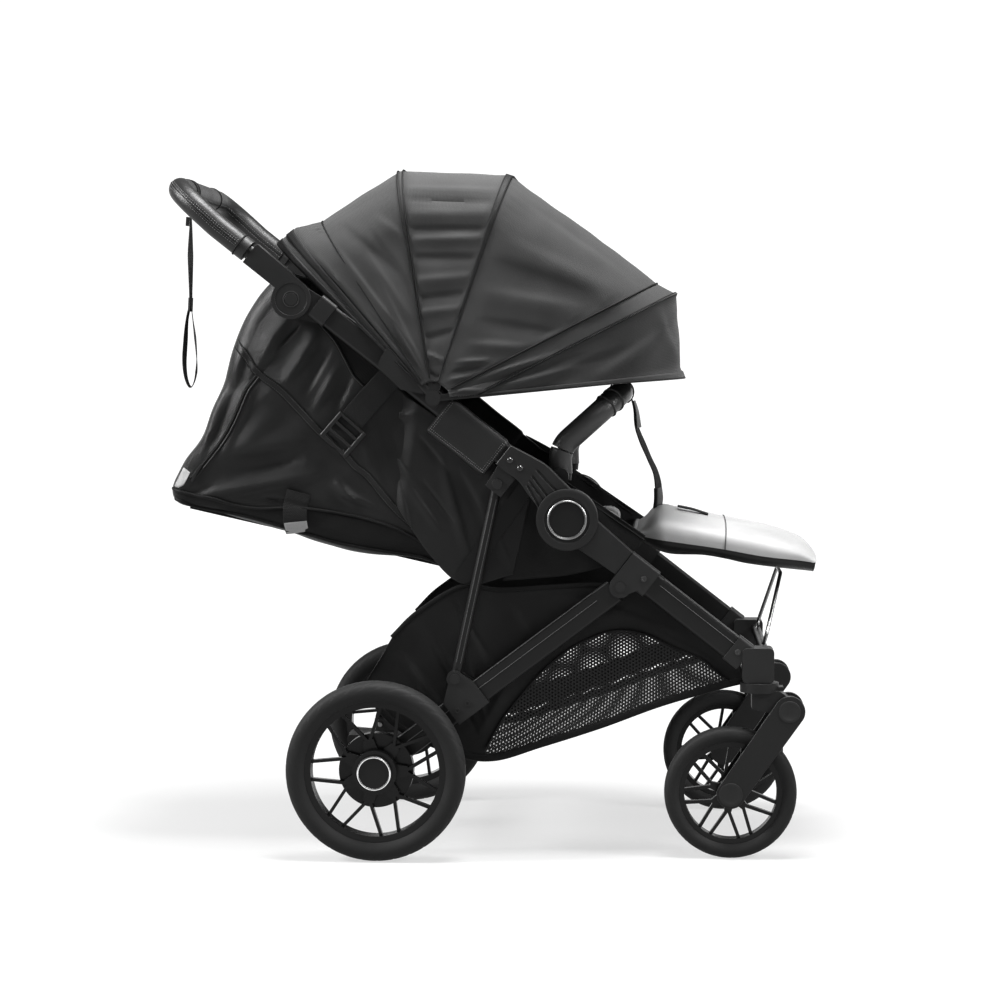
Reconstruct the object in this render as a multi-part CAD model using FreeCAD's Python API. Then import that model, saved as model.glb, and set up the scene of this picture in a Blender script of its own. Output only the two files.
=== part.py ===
"""Folding pushchair with its seat reclined and its hood drawn out, as separate pieces.

Millimetres. +X is forward, +Y is the pushchair's left, +Z is up, and the wheels stand on Z = 0.
Side pieces are built on the left, at positive Y, and mirrored to the right.
"""
import FreeCAD, Part
import math
import os

V = FreeCAD.Vector
ACROSS = V(0, 1, 0)
SIDES = {"right": -1, "left": 1}

# Wheels and the places that set the frame
REAR_WHEEL_RADIUS = 140.0
FRONT_WHEEL_RADIUS = 103.0
REAR_AXLE_X = -179.0
REAR_TRACK = 544.0
REAR_Y = REAR_TRACK / 2
FRAME_INSET = 50.0
CASTER_INSET = 7.0
HUB_X = 116.0
HUB_Z = 529.0
CASTER_X = 414.0
CASTER_TRAIL = 44.0
UPPER_ANGLE = 141.6
LEG_ANGLE = -37.85
SHELL_ANGLE = 167.3

# Frame members, which all lie in one upright plane on each side
FRAME_PLANE = REAR_Y - FRAME_INSET
TUBE_WIDTH = 20.0
TUBE_WALL = 1.8
TUBE_CORNER = 6.0
UPPER_DEPTH = 36.4
UPPER_OFF = 16.5
UPPER_LENGTH = 510.0
LEG_DEPTH = 40.0
LEG_LENGTH = 346.0
REAR_LEG_DEPTH = 38.0
CHEEK = 5.5
SIDE_PLAY = 0.5
PIN_PLAY = 0.05
SEAT_PLAY = 0.3
OVERRUN = 3.0
TOUCHING = 1e-6

# Pivots, along and off the member that carries them
HUB_RADIUS = 51.0
HUB_PIN_RADIUS = 8.0
REAR_PIVOT_ALONG = 129.2
REAR_PIVOT_DROP = 32.6
STRUT_TOP_ALONG = 119.0
STRUT_TOP_DROP = 25.0
STRUT_FOOT_ALONG = 292.5
STRUT_FOOT_RISE = 38.8
HANDLE_HINGE_RUN = 37.5
HANDLE_HINGE_ALONG = UPPER_LENGTH + HANDLE_HINGE_RUN
HOOD_PIVOT_ALONG = 279.2
HOOD_PIVOT_OFF = 17.4
BUMPER_PIVOT_ALONG = 49.8
BUMPER_PIVOT_OFF = 43.5
BACK_HINGE_X = -45.0
BACK_HINGE_Z = 440.0
LEG_REST_X = 222.0
LEG_REST_Z = 497.0
LEG_REST_ANGLE = -5.0
FORK_PIVOT_X = 460.0
FORK_PIVOT_Z = 233.0


class Line:
    """A straight member in the XZ plane: places on it are given along it and off it, upwards."""

    def __init__(self, start, angle):
        turn = math.radians(angle)
        self.start = start
        self.angle = angle
        self.run = (math.cos(turn), math.sin(turn))
        flip = 1 if self.run[0] >= 0 else -1
        self.rise = (-flip * self.run[1], flip * self.run[0])

    def at(self, along, off=0.0):
        x = self.start[0] + self.run[0] * along + self.rise[0] * off
        z = self.start[1] + self.run[1] * along + self.rise[1] * off
        return (x, z)

    def space(self, along, off, y):
        x, z = self.at(along, off)
        return V(x, y, z)


def line_between(start, end):
    angle = math.degrees(math.atan2(end[1] - start[1], end[0] - start[0]))
    return Line(start, angle)


HUB = (HUB_X, HUB_Z)
REAR_AXLE = (REAR_AXLE_X, REAR_WHEEL_RADIUS)
FRONT_AXLE = (CASTER_X - CASTER_TRAIL, FRONT_WHEEL_RADIUS)
UPPER = Line(HUB, UPPER_ANGLE)
LEG = Line(HUB, LEG_ANGLE)
REAR_PIVOT = LEG.at(REAR_PIVOT_ALONG, -REAR_PIVOT_DROP)
REAR_LEG = line_between(REAR_PIVOT, REAR_AXLE)
REAR_LEG_LENGTH = math.dist(REAR_PIVOT, REAR_AXLE)
STRUT_TOP = UPPER.at(STRUT_TOP_ALONG, -STRUT_TOP_DROP)
STRUT_FOOT = REAR_LEG.at(STRUT_FOOT_ALONG, STRUT_FOOT_RISE)
STRUT = line_between(STRUT_TOP, STRUT_FOOT)
HANDLE_HINGE = UPPER.at(HANDLE_HINGE_ALONG)
HOOD_PIVOT = UPPER.at(HOOD_PIVOT_ALONG, HOOD_PIVOT_OFF)
BUMPER_PIVOT = UPPER.at(BUMPER_PIVOT_ALONG, BUMPER_PIVOT_OFF)
BACK_HINGE = (BACK_HINGE_X, BACK_HINGE_Z)
BACK = Line(BACK_HINGE, SHELL_ANGLE)
LEG_REST_HINGE = (LEG_REST_X, LEG_REST_Z)
LEG_REST = Line(LEG_REST_HINGE, LEG_REST_ANGLE)
FORK_PIVOT = (FORK_PIVOT_X, FORK_PIVOT_Z)
FORK = line_between(FORK_PIVOT, FRONT_AXLE)
TUBE_IN = FRAME_PLANE - TUBE_WIDTH / 2
TUBE_OUT = FRAME_PLANE + TUBE_WIDTH / 2
CHEEK_IN = TUBE_IN - CHEEK + 2 * SIDE_PLAY
CHEEK_OUT = TUBE_OUT + CHEEK - 2 * SIDE_PLAY
TONGUE_IN = CHEEK_IN + CHEEK + SEAT_PLAY
TONGUE_OUT = CHEEK_OUT - CHEEK - SEAT_PLAY


# Building blocks

def unit(vector):
    return V(vector).normalize()


def corner_arc(before, at, after, radius):
    """The start, middle and end of the arc that rounds the corner at a point."""
    back = unit(before - at)
    on = unit(after - at)
    half = back.getAngle(on) / 2
    reach = radius / math.tan(half)
    inward = unit(back + on)
    middle = at + inward * (radius / math.sin(half) - radius)
    return at + back * reach, middle, at + on * reach


def path(points, radius, closed=False):
    """A wire through the points, with each corner rounded by its radius or left sharp at 0."""
    count = len(points)
    radii = radius if isinstance(radius, list) else [radius] * count
    edges = []
    last = None
    first = None
    for n, point in enumerate(points):
        ends = not closed and n in (0, count - 1)
        if ends or radii[n] == 0:
            enter, leave, arc = point, point, None
        else:
            enter, middle, leave = corner_arc(points[n - 1], point, points[(n + 1) % count], radii[n])
            arc = Part.Arc(enter, middle, leave).toShape()
        if last is not None and last.distanceToPoint(enter) > TOUCHING:
            edges.append(Part.LineSegment(last, enter).toShape())
        if arc is not None:
            edges.append(arc)
        first = enter if first is None else first
        last = leave
    if closed and last.distanceToPoint(first) > TOUCHING:
        edges.append(Part.LineSegment(last, first).toShape())
    return Part.Wire(edges)


def prism(points, low, high, radius=0.0):
    """A plate with an XZ outline, from one Y to another."""
    wire = path([V(x, low, z) for x, z in points], radius, closed=True)
    return Part.Face(wire).extrude(V(0, high - low, 0))


def plate(line, points, low, high, radius=0.0):
    """A plate whose outline is given along and off a member."""
    return prism([line.at(along, off) for along, off in points], low, high, radius)


def strip(points, thick, low, high):
    """A flat strap of one thickness that follows the points in the XZ plane."""
    sides = ([], [])
    for (x, z), (x0, z0), (x1, z1) in zip(points, points[:1] + points[:-1], points[1:] + points[-1:]):
        length = math.dist((x0, z0), (x1, z1))
        off_x, off_z = -(z1 - z0) / length * thick / 2, (x1 - x0) / length * thick / 2
        sides[0].append((x + off_x, z + off_z))
        sides[1].append((x - off_x, z - off_z))
    return prism(sides[0] + sides[1][::-1], low, high)


def disc(centre, radius, low, high):
    return Part.makeCylinder(radius, high - low, V(centre[0], low, centre[1]), ACROSS)


def ring(centre, outer, inner, low, high):
    hole = disc(centre, inner, low - OVERRUN, high + OVERRUN)
    return disc(centre, outer, low, high).cut(hole)


def beam(line, start, end, off, depth, low, high, corner, wall=0.0):
    """A rounded box section run along a member, hollow where a wall is given."""
    def solid(inset, first, last):
        span = depth / 2 - inset
        ring_points = [
            line.space(first, off - span, low + inset),
            line.space(first, off + span, low + inset),
            line.space(first, off + span, high - inset),
            line.space(first, off - span, high - inset),
        ]
        face = Part.Face(path(ring_points, max(corner - inset, corner / 4), closed=True))
        run = V(line.run[0], 0, line.run[1])
        return face.extrude(run * (last - first))

    outer = solid(0.0, start, end)
    if wall:
        outer = outer.cut(solid(wall, start - OVERRUN, end + OVERRUN))
    return outer


def pipe(wire, radius):
    """A round bar swept along a wire of runs and tangent arcs."""
    first = wire.OrderedEdges[0]
    low = first.FirstParameter
    start = first.valueAt(low)
    ahead = first.tangentAt(low)
    section = Part.Wire([Part.makeCircle(radius, start, ahead)])
    return wire.makePipeShell([section], True, False)


def rod(start, end, radius):
    return Part.makeCylinder(radius, start.distanceToPoint(end), start, end - start)


def mirrored(shape):
    return shape.mirror(V(0, 0, 0), ACROSS)


def both(shape):
    return [mirrored(shape), shape]


def loft(wires):
    return Part.makeLoft(wires, True, True)


def cushion(line, stations, crown, edge):
    """A crowned pad with drawn-in sides, lofted through stations of (along, low, high, half width)."""
    wires = []
    for along, low, high, half in stations:
        middle = (low + high) / 2
        flat = half - edge
        side = [line.space(along, low, flat), line.space(along, middle, half), line.space(along, high, flat)]
        top = line.space(along, high + crown, 0)
        other = [V(p.x, -p.y, p.z) for p in side]
        wires.append(Part.Wire([
            Part.LineSegment(other[0], side[0]).toShape(),
            Part.Arc(*side).toShape(),
            Part.Arc(side[2], top, other[2]).toShape(),
            Part.Arc(*reversed(other)).toShape(),
        ]))
    return loft(wires)


def save(name, solids):
    shape = solids[0] if len(solids) == 1 else Part.Compound(solids)
    shape.exportStep(f"parts/{name}.step")
    for solid in shape.Solids:
        if not solid.isValid() or solid.Volume <= 0:
            print("check the solid", name)


# Front frame: hubs, front legs, casters' housings, seat frame and basket

HOUSING_RADIUS = 47.0
HOUSING_INSET = 14.0
HOUSING_OUTSET = 12.0
HOUSING_IN = FRAME_PLANE - HOUSING_INSET
HOUSING_OUT = FRAME_PLANE + HOUSING_OUTSET
ARM_START = 30.0
ARM_ROOT_DEPTH = 54.0
JUNCTION_START = 112.0
JUNCTION_END = 165.0
JUNCTION_DEPTH = 46.0
JUNCTION_CORNER = 4.0
EAR_RADIUS = 17.0
REAR_PIN_RADIUS = 5.0
PIN_HEAD_RADIUS = 8.0
PIN_HEAD = 2.5


def hub_housings():
    """Round hub bodies, each with the arm that grips the front leg."""
    body = disc(HUB, HOUSING_RADIUS, HOUSING_IN, HOUSING_OUT)
    arm = plate(LEG, [
        (ARM_START, -ARM_ROOT_DEPTH / 2), (JUNCTION_START, -LEG_DEPTH / 2 - TUBE_WALL),
        (JUNCTION_START, LEG_DEPTH / 2 + TUBE_WALL), (ARM_START, ARM_ROOT_DEPTH / 2),
    ], HOUSING_IN, HOUSING_OUT)
    bore = disc(HUB, HUB_PIN_RADIUS, HOUSING_IN - OVERRUN, HOUSING_OUT + OVERRUN)
    return both(body.fuse(arm).cut(bore).removeSplitter())


def leg_junctions():
    """Blocks round the front legs, with ears and pins for the rear legs."""
    block = beam(LEG, JUNCTION_START, JUNCTION_END, 0.0, JUNCTION_DEPTH, CHEEK_IN, CHEEK_OUT, JUNCTION_CORNER)
    ear = disc(REAR_PIVOT, EAR_RADIUS, CHEEK_IN, CHEEK_OUT)
    web = plate(LEG, [
        (JUNCTION_START, 0.0), (REAR_PIVOT_ALONG - EAR_RADIUS, -REAR_PIVOT_DROP),
        (REAR_PIVOT_ALONG + EAR_RADIUS, -REAR_PIVOT_DROP), (JUNCTION_END, 0.0),
    ], CHEEK_IN, CHEEK_OUT)
    slot_end = LEG_DEPTH / 2 + SEAT_PLAY
    slot = plate(LEG, [
        (-JUNCTION_END, -slot_end), (2 * JUNCTION_END, -slot_end),
        (2 * JUNCTION_END, -JUNCTION_END), (-JUNCTION_END, -JUNCTION_END),
    ], CHEEK_IN + CHEEK, CHEEK_OUT - CHEEK)
    tube = beam(LEG, JUNCTION_START - OVERRUN, JUNCTION_END + OVERRUN, 0.0, LEG_DEPTH, TUBE_IN, TUBE_OUT,
            TUBE_CORNER)
    pin = disc(REAR_PIVOT, REAR_PIN_RADIUS - PIN_PLAY, CHEEK_IN, CHEEK_OUT)
    head = disc(REAR_PIVOT, PIN_HEAD_RADIUS, CHEEK_OUT, CHEEK_OUT + PIN_HEAD)
    body = block.fuse(ear).fuse(web).cut(slot).cut(tube).fuse(pin).fuse(head)
    return both(body.removeSplitter())


def front_leg_tubes():
    tube = beam(LEG, JUNCTION_START, LEG_LENGTH, 0.0, LEG_DEPTH, TUBE_IN, TUBE_OUT, TUBE_CORNER, TUBE_WALL)
    return both(tube)


COLLAR_START = 322.0
COLLAR_WALL = 3.0
HOUSING_BLOCK_X = (387.0, 436.0)
HOUSING_BLOCK_Z = (276.0, 330.0)
HOUSING_BLOCK_WIDTH = 44.0
HOUSING_BLOCK_CORNER = 7.0
SWIVEL_RADIUS = 8.0
SWIVEL_DEPTH = 38.0
CASTER_Y = FRAME_PLANE - CASTER_INSET


def caster_housings():
    """End castings of the front legs, with an upright bore for the caster's stem."""
    low, high = CASTER_Y - HOUSING_BLOCK_WIDTH / 2, CASTER_Y + HOUSING_BLOCK_WIDTH / 2
    (x0, x1), (z0, z1) = HOUSING_BLOCK_X, HOUSING_BLOCK_Z
    block = prism([(x0, z0), (x1, z0), (x1, z1), (x0, z1)], low, high, HOUSING_BLOCK_CORNER)
    collar = beam(LEG, COLLAR_START, LEG_LENGTH + COLLAR_WALL, 0.0, LEG_DEPTH + 2 * COLLAR_WALL,
                  TUBE_IN - COLLAR_WALL, TUBE_OUT + COLLAR_WALL, TUBE_CORNER)
    tube = beam(LEG, 0.0, LEG_LENGTH, 0.0, LEG_DEPTH, TUBE_IN, TUBE_OUT, TUBE_CORNER)
    stem = Part.makeCylinder(SWIVEL_RADIUS, SWIVEL_DEPTH + OVERRUN, V(CASTER_X, CASTER_Y, z0 - OVERRUN))
    return both(block.fuse(collar).cut(tube).cut(stem).removeSplitter())


CROSS_TUBE_RADIUS = 8.0
CROSS_TUBE_X = 424.0
CROSS_TUBE_RISE = 15.0


def front_cross_tube():
    """The tube between the two caster housings, on which the leg rest's prop stands."""
    reach = CASTER_Y - HOUSING_BLOCK_WIDTH / 2
    z = HOUSING_BLOCK_Z[1] - CROSS_TUBE_RISE
    return [disc((CROSS_TUBE_X, z), CROSS_TUBE_RADIUS, -reach, reach)]


RAIL_RADIUS = 7.5
RAIL_INSET = 19.5
RAIL_Y = TUBE_IN - RAIL_INSET
RAIL_REAR_X = -12.0
RAIL_REAR_Z = 452.0
RAIL_BEND = 30.0
HANGER_WIDTH = 22.0
SPACER_DROP = 28.0


def seat_frame():
    """One bent tube round the seat, hung on a spacer inside each hub."""
    wire = path([
        V(LEG_REST_X, 0, LEG_REST_Z), V(LEG_REST_X, RAIL_Y, LEG_REST_Z),
        V(RAIL_REAR_X, RAIL_Y, RAIL_REAR_Z), V(RAIL_REAR_X, 0, RAIL_REAR_Z),
    ], RAIL_BEND)
    half = pipe(wire, RAIL_RADIUS)
    tube = half.fuse(mirrored(half)).removeSplitter()
    spacer = disc((HUB_X, HUB_Z - SPACER_DROP), HANGER_WIDTH / 2, RAIL_Y, HOUSING_IN)
    slope = (LEG_REST_Z - RAIL_REAR_Z) / (LEG_REST_X - RAIL_REAR_X)
    rail_z = RAIL_REAR_Z + slope * (HUB_X - RAIL_REAR_X)
    hanger = prism([
        (HUB_X - HANGER_WIDTH / 2, rail_z), (HUB_X + HANGER_WIDTH / 2, rail_z),
        (HUB_X + HANGER_WIDTH / 2, HUB_Z - SPACER_DROP), (HUB_X - HANGER_WIDTH / 2, HUB_Z - SPACER_DROP),
    ], RAIL_Y, RAIL_Y + RAIL_RADIUS)
    for part in both(spacer.fuse(hanger)):
        tube = tube.fuse(part)
    return [tube.removeSplitter()]


SEAT_PAD_LENGTH = 224.0
SEAT_PAD_INSET = 0.5
SEAT_PAD_HALF_WIDTH = RAIL_Y - SEAT_PAD_INSET
SEAT_PAD_THICK = 30.0
SEAT_PAD_CROWN = 8.0
SEAT_PAD_EDGE = 4.0
SEAT_STATION_SHARES = [(0.0, 0.35, 0.90), (0.06, 0.90, 0.98), (0.5, 1.0, 1.0), (0.94, 0.95, 0.98),
        (1.0, 0.4, 0.92)]
SEAT_LINE = line_between((RAIL_REAR_X, RAIL_REAR_Z), LEG_REST_HINGE)


def seat_pad():
    """The seat cushion on the rails."""
    base = RAIL_RADIUS + SEAT_PLAY
    stations = [
        (along * SEAT_PAD_LENGTH, base, base + thick * SEAT_PAD_THICK, wide * SEAT_PAD_HALF_WIDTH)
        for along, thick, wide in SEAT_STATION_SHARES
    ]
    return [cushion(SEAT_LINE, stations, SEAT_PAD_CROWN, SEAT_PAD_EDGE)]


BASKET_FRONT_GAP = 16.0
BASKET_HEIGHT = 288.0
BASKET_REAR_X = -208.0
BASKET_LENGTH = CROSS_TUBE_X - CROSS_TUBE_RADIUS - BASKET_FRONT_GAP - BASKET_REAR_X
BASKET_FLOOR_Z = 146.0
BASKET_INSET = 8.0
BASKET_HALF_WIDTH = TUBE_IN - BASKET_INSET
BASKET_WALL = 2.5
TAB_LENGTH = 26.0
TAB_ALONG = (190.0, 290.0)
BASKET_SHARES = [
    (0.31, 0.0), (0.46, 0.10), (0.62, 0.18), (0.77, 0.32), (0.90, 0.39), (0.96, 0.42),
    (0.94, 0.50), (0.77, 0.76), (0.62, 0.97), (0.27, 0.95), (0.20, 0.85), (0.10, 0.70), (0.0, 0.41),
    (0.13, 0.17),
]
BASKET_RIM = (8, 9)


def storage_basket():
    """The open basket under the seat, tied to the front legs by its tabs."""
    def place(share):
        return (BASKET_REAR_X + share[0] * BASKET_LENGTH, BASKET_FLOOR_Z + share[1] * BASKET_HEIGHT)

    outline = [place(share) for share in BASKET_SHARES]
    outer = prism(outline, -BASKET_HALF_WIDTH, BASKET_HALF_WIDTH)
    centre_x = sum(x for x, z in outline) / len(outline)
    centre_z = sum(z for x, z in outline) / len(outline)
    inner_points = []
    for n, (x, z) in enumerate(outline):
        reach = math.dist((x, z), (centre_x, centre_z))
        keep = 1 - 2 * BASKET_WALL / reach
        rise = BASKET_HEIGHT if n in BASKET_RIM else 0.0
        inner_points.append((centre_x + (x - centre_x) * keep, centre_z + (z - centre_z) * keep + rise))
    inner = prism(inner_points, -BASKET_HALF_WIDTH + BASKET_WALL, BASKET_HALF_WIDTH - BASKET_WALL)
    body = outer.cut(inner)
    for along in TAB_ALONG:
        drop = LEG_DEPTH / 2
        tab = plate(LEG, [
            (along, -drop - TAB_LENGTH), (along + TAB_LENGTH, -drop - TAB_LENGTH),
            (along + TAB_LENGTH, -drop + TAB_LENGTH / 2), (along, -drop + TAB_LENGTH / 2),
        ], BASKET_HALF_WIDTH - BASKET_WALL, TUBE_IN)
        for side in both(tab):
            body = body.fuse(side)
    return [body.removeSplitter()]


SCREW_HEAD_RADIUS = 4.5
SCREW_HEAD = 1.6
SCREW_SHANK_RADIUS = 2.4
SOCKET_RADIUS = 2.2
SOCKET_DEPTH = 1.1


def screw(centre, face, depth):
    """A button-head screw whose head stands on an outer face, with its shank in the part."""
    head = disc(centre, SCREW_HEAD_RADIUS, face, face + SCREW_HEAD)
    top = face + SCREW_HEAD
    socket = disc(centre, SOCKET_RADIUS, top - SOCKET_DEPTH, top + OVERRUN)
    shank = disc(centre, SCREW_SHANK_RADIUS, face - depth, face)
    return head.cut(socket).fuse(shank)


JUNCTION_SCREW_ALONG = 150.0
HOUSING_SCREW_ALONG = 334.0
SCREW_DEPTH = 4.0


def frame_screw_places():
    return [
        (LEG.at(JUNCTION_SCREW_ALONG), CHEEK_OUT, SCREW_DEPTH),
        (LEG.at(HOUSING_SCREW_ALONG), TUBE_OUT + COLLAR_WALL, COLLAR_WALL),
    ]


# Upper frame: tubes from the hubs to the handle's hinges, and what is fixed to them

UPPER_START = 56.0
COVER_PLAY = 1.0
COVER_THICK = 20.0
COVER_BACK = HOUSING_OUT + COVER_PLAY
COVER_FACE = COVER_BACK + COVER_THICK
COVER_RING = 30.0
COVER_GROOVE = 5.0
BADGE_RADIUS = 26.5
BADGE_RISE = 3.0
SWOOP_END = 138.0
SWOOP_THICK = 12.0
SWOOP_FACE = TUBE_OUT + SWOOP_THICK
SWOOP_ROOT_DEPTH = 66.0
SWOOP_SCREW_ALONG = (106.0, 126.0)
CLEVIS_HALF_LENGTH = 17.0
RIB_COUNT = 3
RIB_DEPTH = 3.0
RIB_WIDTH = 4.0
RIB_PITCH = 9.0


def hub_covers():
    """Outer hub discs with a raised ring, a bare badge disc and the plate that takes the upper tube."""
    body = disc(HUB, HUB_RADIUS, COVER_BACK, COVER_FACE)
    groove = ring(HUB, HUB_RADIUS - COVER_GROOVE * 2, COVER_RING, COVER_FACE - COVER_GROOVE,
            COVER_FACE + OVERRUN)
    well = disc(HUB, COVER_RING - TUBE_WALL, COVER_FACE - COVER_GROOVE, COVER_FACE + OVERRUN)
    badge = disc(HUB, BADGE_RADIUS, COVER_FACE - COVER_GROOVE, COVER_FACE - COVER_GROOVE + BADGE_RISE)
    body = body.cut(groove).cut(well).fuse(badge)
    low, high = UPPER_OFF - UPPER_DEPTH / 2, UPPER_OFF + UPPER_DEPTH / 2
    start = HUB_RADIUS - COVER_GROOVE
    swoop = plate(UPPER, [
        (start, UPPER_OFF - SWOOP_ROOT_DEPTH / 2), (UPPER_START, UPPER_OFF - SWOOP_ROOT_DEPTH / 2),
        (STRUT_TOP_ALONG - CLEVIS_HALF_LENGTH, low), (SWOOP_END, low), (SWOOP_END, high),
        (UPPER_START, UPPER_OFF + SWOOP_ROOT_DEPTH / 2),
        (start, UPPER_OFF + SWOOP_ROOT_DEPTH / 2),
    ], TUBE_OUT, SWOOP_FACE)
    swoop = swoop.cut(disc(HUB, UPPER_START - OVERRUN, TUBE_OUT - OVERRUN, COVER_BACK))
    for n in range(RIB_COUNT):
        off = UPPER_OFF + (n - (RIB_COUNT - 1) / 2) * RIB_PITCH
        rib_end = SWOOP_SCREW_ALONG[0] - SCREW_HEAD_RADIUS - RIB_WIDTH
        rib = plate(UPPER, [
            (HUB_RADIUS + RIB_WIDTH, off), (rib_end, off), (rib_end, off + RIB_WIDTH),
            (HUB_RADIUS + RIB_WIDTH, off + RIB_WIDTH),
        ], SWOOP_FACE - RIB_DEPTH, SWOOP_FACE + OVERRUN)
        swoop = swoop.cut(rib)
    pin = disc(HUB, HUB_PIN_RADIUS - PIN_PLAY, HOUSING_IN, COVER_BACK)
    return both(body.fuse(swoop).fuse(pin).removeSplitter())


def upper_tubes():
    tube = beam(UPPER, UPPER_START, UPPER_LENGTH, UPPER_OFF, UPPER_DEPTH, TUBE_IN, TUBE_OUT, TUBE_CORNER,
            TUBE_WALL)
    return both(tube)


STRUT_RADIUS = 8.0
CLEVIS_BELOW = 13.0
STRUT_PIN_RADIUS = 5.0


def strut_clevises():
    """Forked blocks under the upper tubes, with the struts' top pins."""
    top = UPPER_OFF - UPPER_DEPTH / 2
    foot = -STRUT_TOP_DROP - CLEVIS_BELOW
    block = plate(UPPER, [
        (STRUT_TOP_ALONG - CLEVIS_HALF_LENGTH, top), (STRUT_TOP_ALONG - CLEVIS_HALF_LENGTH, foot),
        (STRUT_TOP_ALONG + CLEVIS_BELOW, foot), (STRUT_TOP_ALONG + CLEVIS_HALF_LENGTH, top),
    ], TUBE_IN, TUBE_OUT)
    cheeks = plate(UPPER, [
        (STRUT_TOP_ALONG - CLEVIS_HALF_LENGTH, top), (STRUT_TOP_ALONG - CLEVIS_HALF_LENGTH, foot),
        (STRUT_TOP_ALONG + CLEVIS_BELOW, foot), (STRUT_TOP_ALONG + CLEVIS_HALF_LENGTH, top),
    ], CHEEK_IN, CHEEK_OUT)
    room = STRUT_RADIUS + 2 * OVERRUN
    slot = plate(UPPER, [
        (-UPPER_LENGTH, -STRUT_TOP_DROP + room), (UPPER_LENGTH, -STRUT_TOP_DROP + room),
        (UPPER_LENGTH, -UPPER_LENGTH), (-UPPER_LENGTH, -UPPER_LENGTH),
    ], CHEEK_IN + CHEEK, CHEEK_OUT - CHEEK)
    pin = disc(STRUT_TOP, STRUT_PIN_RADIUS - PIN_PLAY, CHEEK_IN, CHEEK_OUT)
    head = disc(STRUT_TOP, PIN_HEAD_RADIUS, CHEEK_OUT, CHEEK_OUT + PIN_HEAD)
    return both(block.fuse(cheeks).cut(slot).fuse(pin).fuse(head).removeSplitter())


WRAP_START = 145.0
WRAP_END = 257.0
WRAP_DROP = 30.0
WRAP_THICK = 2.5
WRAP_CORNER = 5.0


def side_wraps():
    """Padded sleeves buttoned round the upper tubes."""
    top = UPPER_OFF + UPPER_DEPTH / 2 + WRAP_THICK
    depth = top + WRAP_DROP
    sleeve = beam(UPPER, WRAP_START, WRAP_END, top - depth / 2, depth,
                  TUBE_IN - WRAP_THICK, TUBE_OUT + WRAP_THICK, WRAP_CORNER)
    hole = beam(UPPER, WRAP_START - OVERRUN, WRAP_END + OVERRUN, UPPER_OFF, UPPER_DEPTH, TUBE_IN,
            TUBE_OUT, TUBE_CORNER)
    return both(sleeve.cut(hole))


BOW_ROD_RADIUS = 3.5
BOW_CLEARANCE = 5.5
BOW_Y = TUBE_OUT + BOW_CLEARANCE
BOW_ARM_START = 60.0
BOW_CORNER = 85.0
REAR_BOW_ANGLE = 130.0
MIDDLE_BOW_ANGLE = 99.4
FRONT_BOW_ANGLE = 72.0
VISOR_BOW_ANGLE = 27.4
BOW_ANGLES = {"rear": REAR_BOW_ANGLE, "middle": MIDDLE_BOW_ANGLE, "front": FRONT_BOW_ANGLE,
        "visor": VISOR_BOW_ANGLE}
REAR_BOW_REACH = 349.0
MIDDLE_BOW_REACH = 361.0
FRONT_BOW_REACH = 367.0
VISOR_BOW_REACH = 385.0
BOW_REACH = {"rear": REAR_BOW_REACH, "middle": MIDDLE_BOW_REACH, "front": FRONT_BOW_REACH,
        "visor": VISOR_BOW_REACH}
PIVOT_PIN_RADIUS = 4.0
BRACKET_BACK = 1.0
BRACKET_THICK = 7.5
BRACKET_FACE = TUBE_OUT + BRACKET_THICK
BRACKET_SPAN = 104.0
BRACKET_DEPTH = 38.0
BRACKET_SHARES = [(0.0, -0.10), (0.36, -0.55), (0.92, -0.42), (1.0, 0.45), (0.60, 0.48), (0.36, 0.30)]
BOW_LAYER = 2.5
BOW_GAP = 0.2
PIVOT_HEAD_RADIUS = 12.0
PIVOT_HEAD = 2.5
BOW_EYE_RADIUS = 13.0


def bow_layer(index):
    """The two faces, in Y, of the flat eye of the hood's bow of this number."""
    low = TUBE_OUT + BRACKET_BACK + BOW_GAP + index * (BOW_LAYER + BOW_GAP)
    return low, low + BOW_LAYER


def bow_rod(angle, reach):
    """The round bow itself, from above its eyes over the top."""
    line = Line(HOOD_PIVOT, angle)
    left = [line.space(BOW_ARM_START, 0.0, BOW_Y), line.space(reach - BOW_ROD_RADIUS, 0.0, BOW_Y)]
    right = [V(p.x, -p.y, p.z) for p in reversed(left)]
    return pipe(path(left + right, [0, BOW_CORNER, BOW_CORNER, 0]), BOW_ROD_RADIUS)


def hood_brackets():
    """Plates on the upper tubes that hold the hood, with its pivot pins."""
    start = HOOD_PIVOT_ALONG + BOW_EYE_RADIUS + TUBE_WALL
    outline = [(start + a * (BRACKET_SPAN - BOW_EYE_RADIUS), HOOD_PIVOT_OFF + o * BRACKET_DEPTH) for a,
            o in BRACKET_SHARES]
    body = plate(UPPER, outline, TUBE_OUT, BRACKET_FACE).cut(bow_rod(BOW_ANGLES["rear"], BOW_REACH["rear"]))
    base_points = [
        (HOOD_PIVOT_ALONG - BOW_EYE_RADIUS, HOOD_PIVOT_OFF - BOW_EYE_RADIUS),
        (start + OVERRUN, HOOD_PIVOT_OFF - BOW_EYE_RADIUS),
        (start + OVERRUN, HOOD_PIVOT_OFF + BOW_EYE_RADIUS),
        (HOOD_PIVOT_ALONG - BOW_EYE_RADIUS, HOOD_PIVOT_OFF + BOW_EYE_RADIUS),
    ]
    base = plate(UPPER, base_points, TUBE_OUT, TUBE_OUT + BRACKET_BACK)
    end = bow_layer(3)[0]
    pin = disc(HOOD_PIVOT, PIVOT_PIN_RADIUS - PIN_PLAY, TUBE_OUT, end)
    head = disc(HOOD_PIVOT, PIVOT_HEAD_RADIUS, end, end + PIVOT_HEAD)
    return both(body.fuse(base).fuse(pin).fuse(head).removeSplitter())


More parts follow.
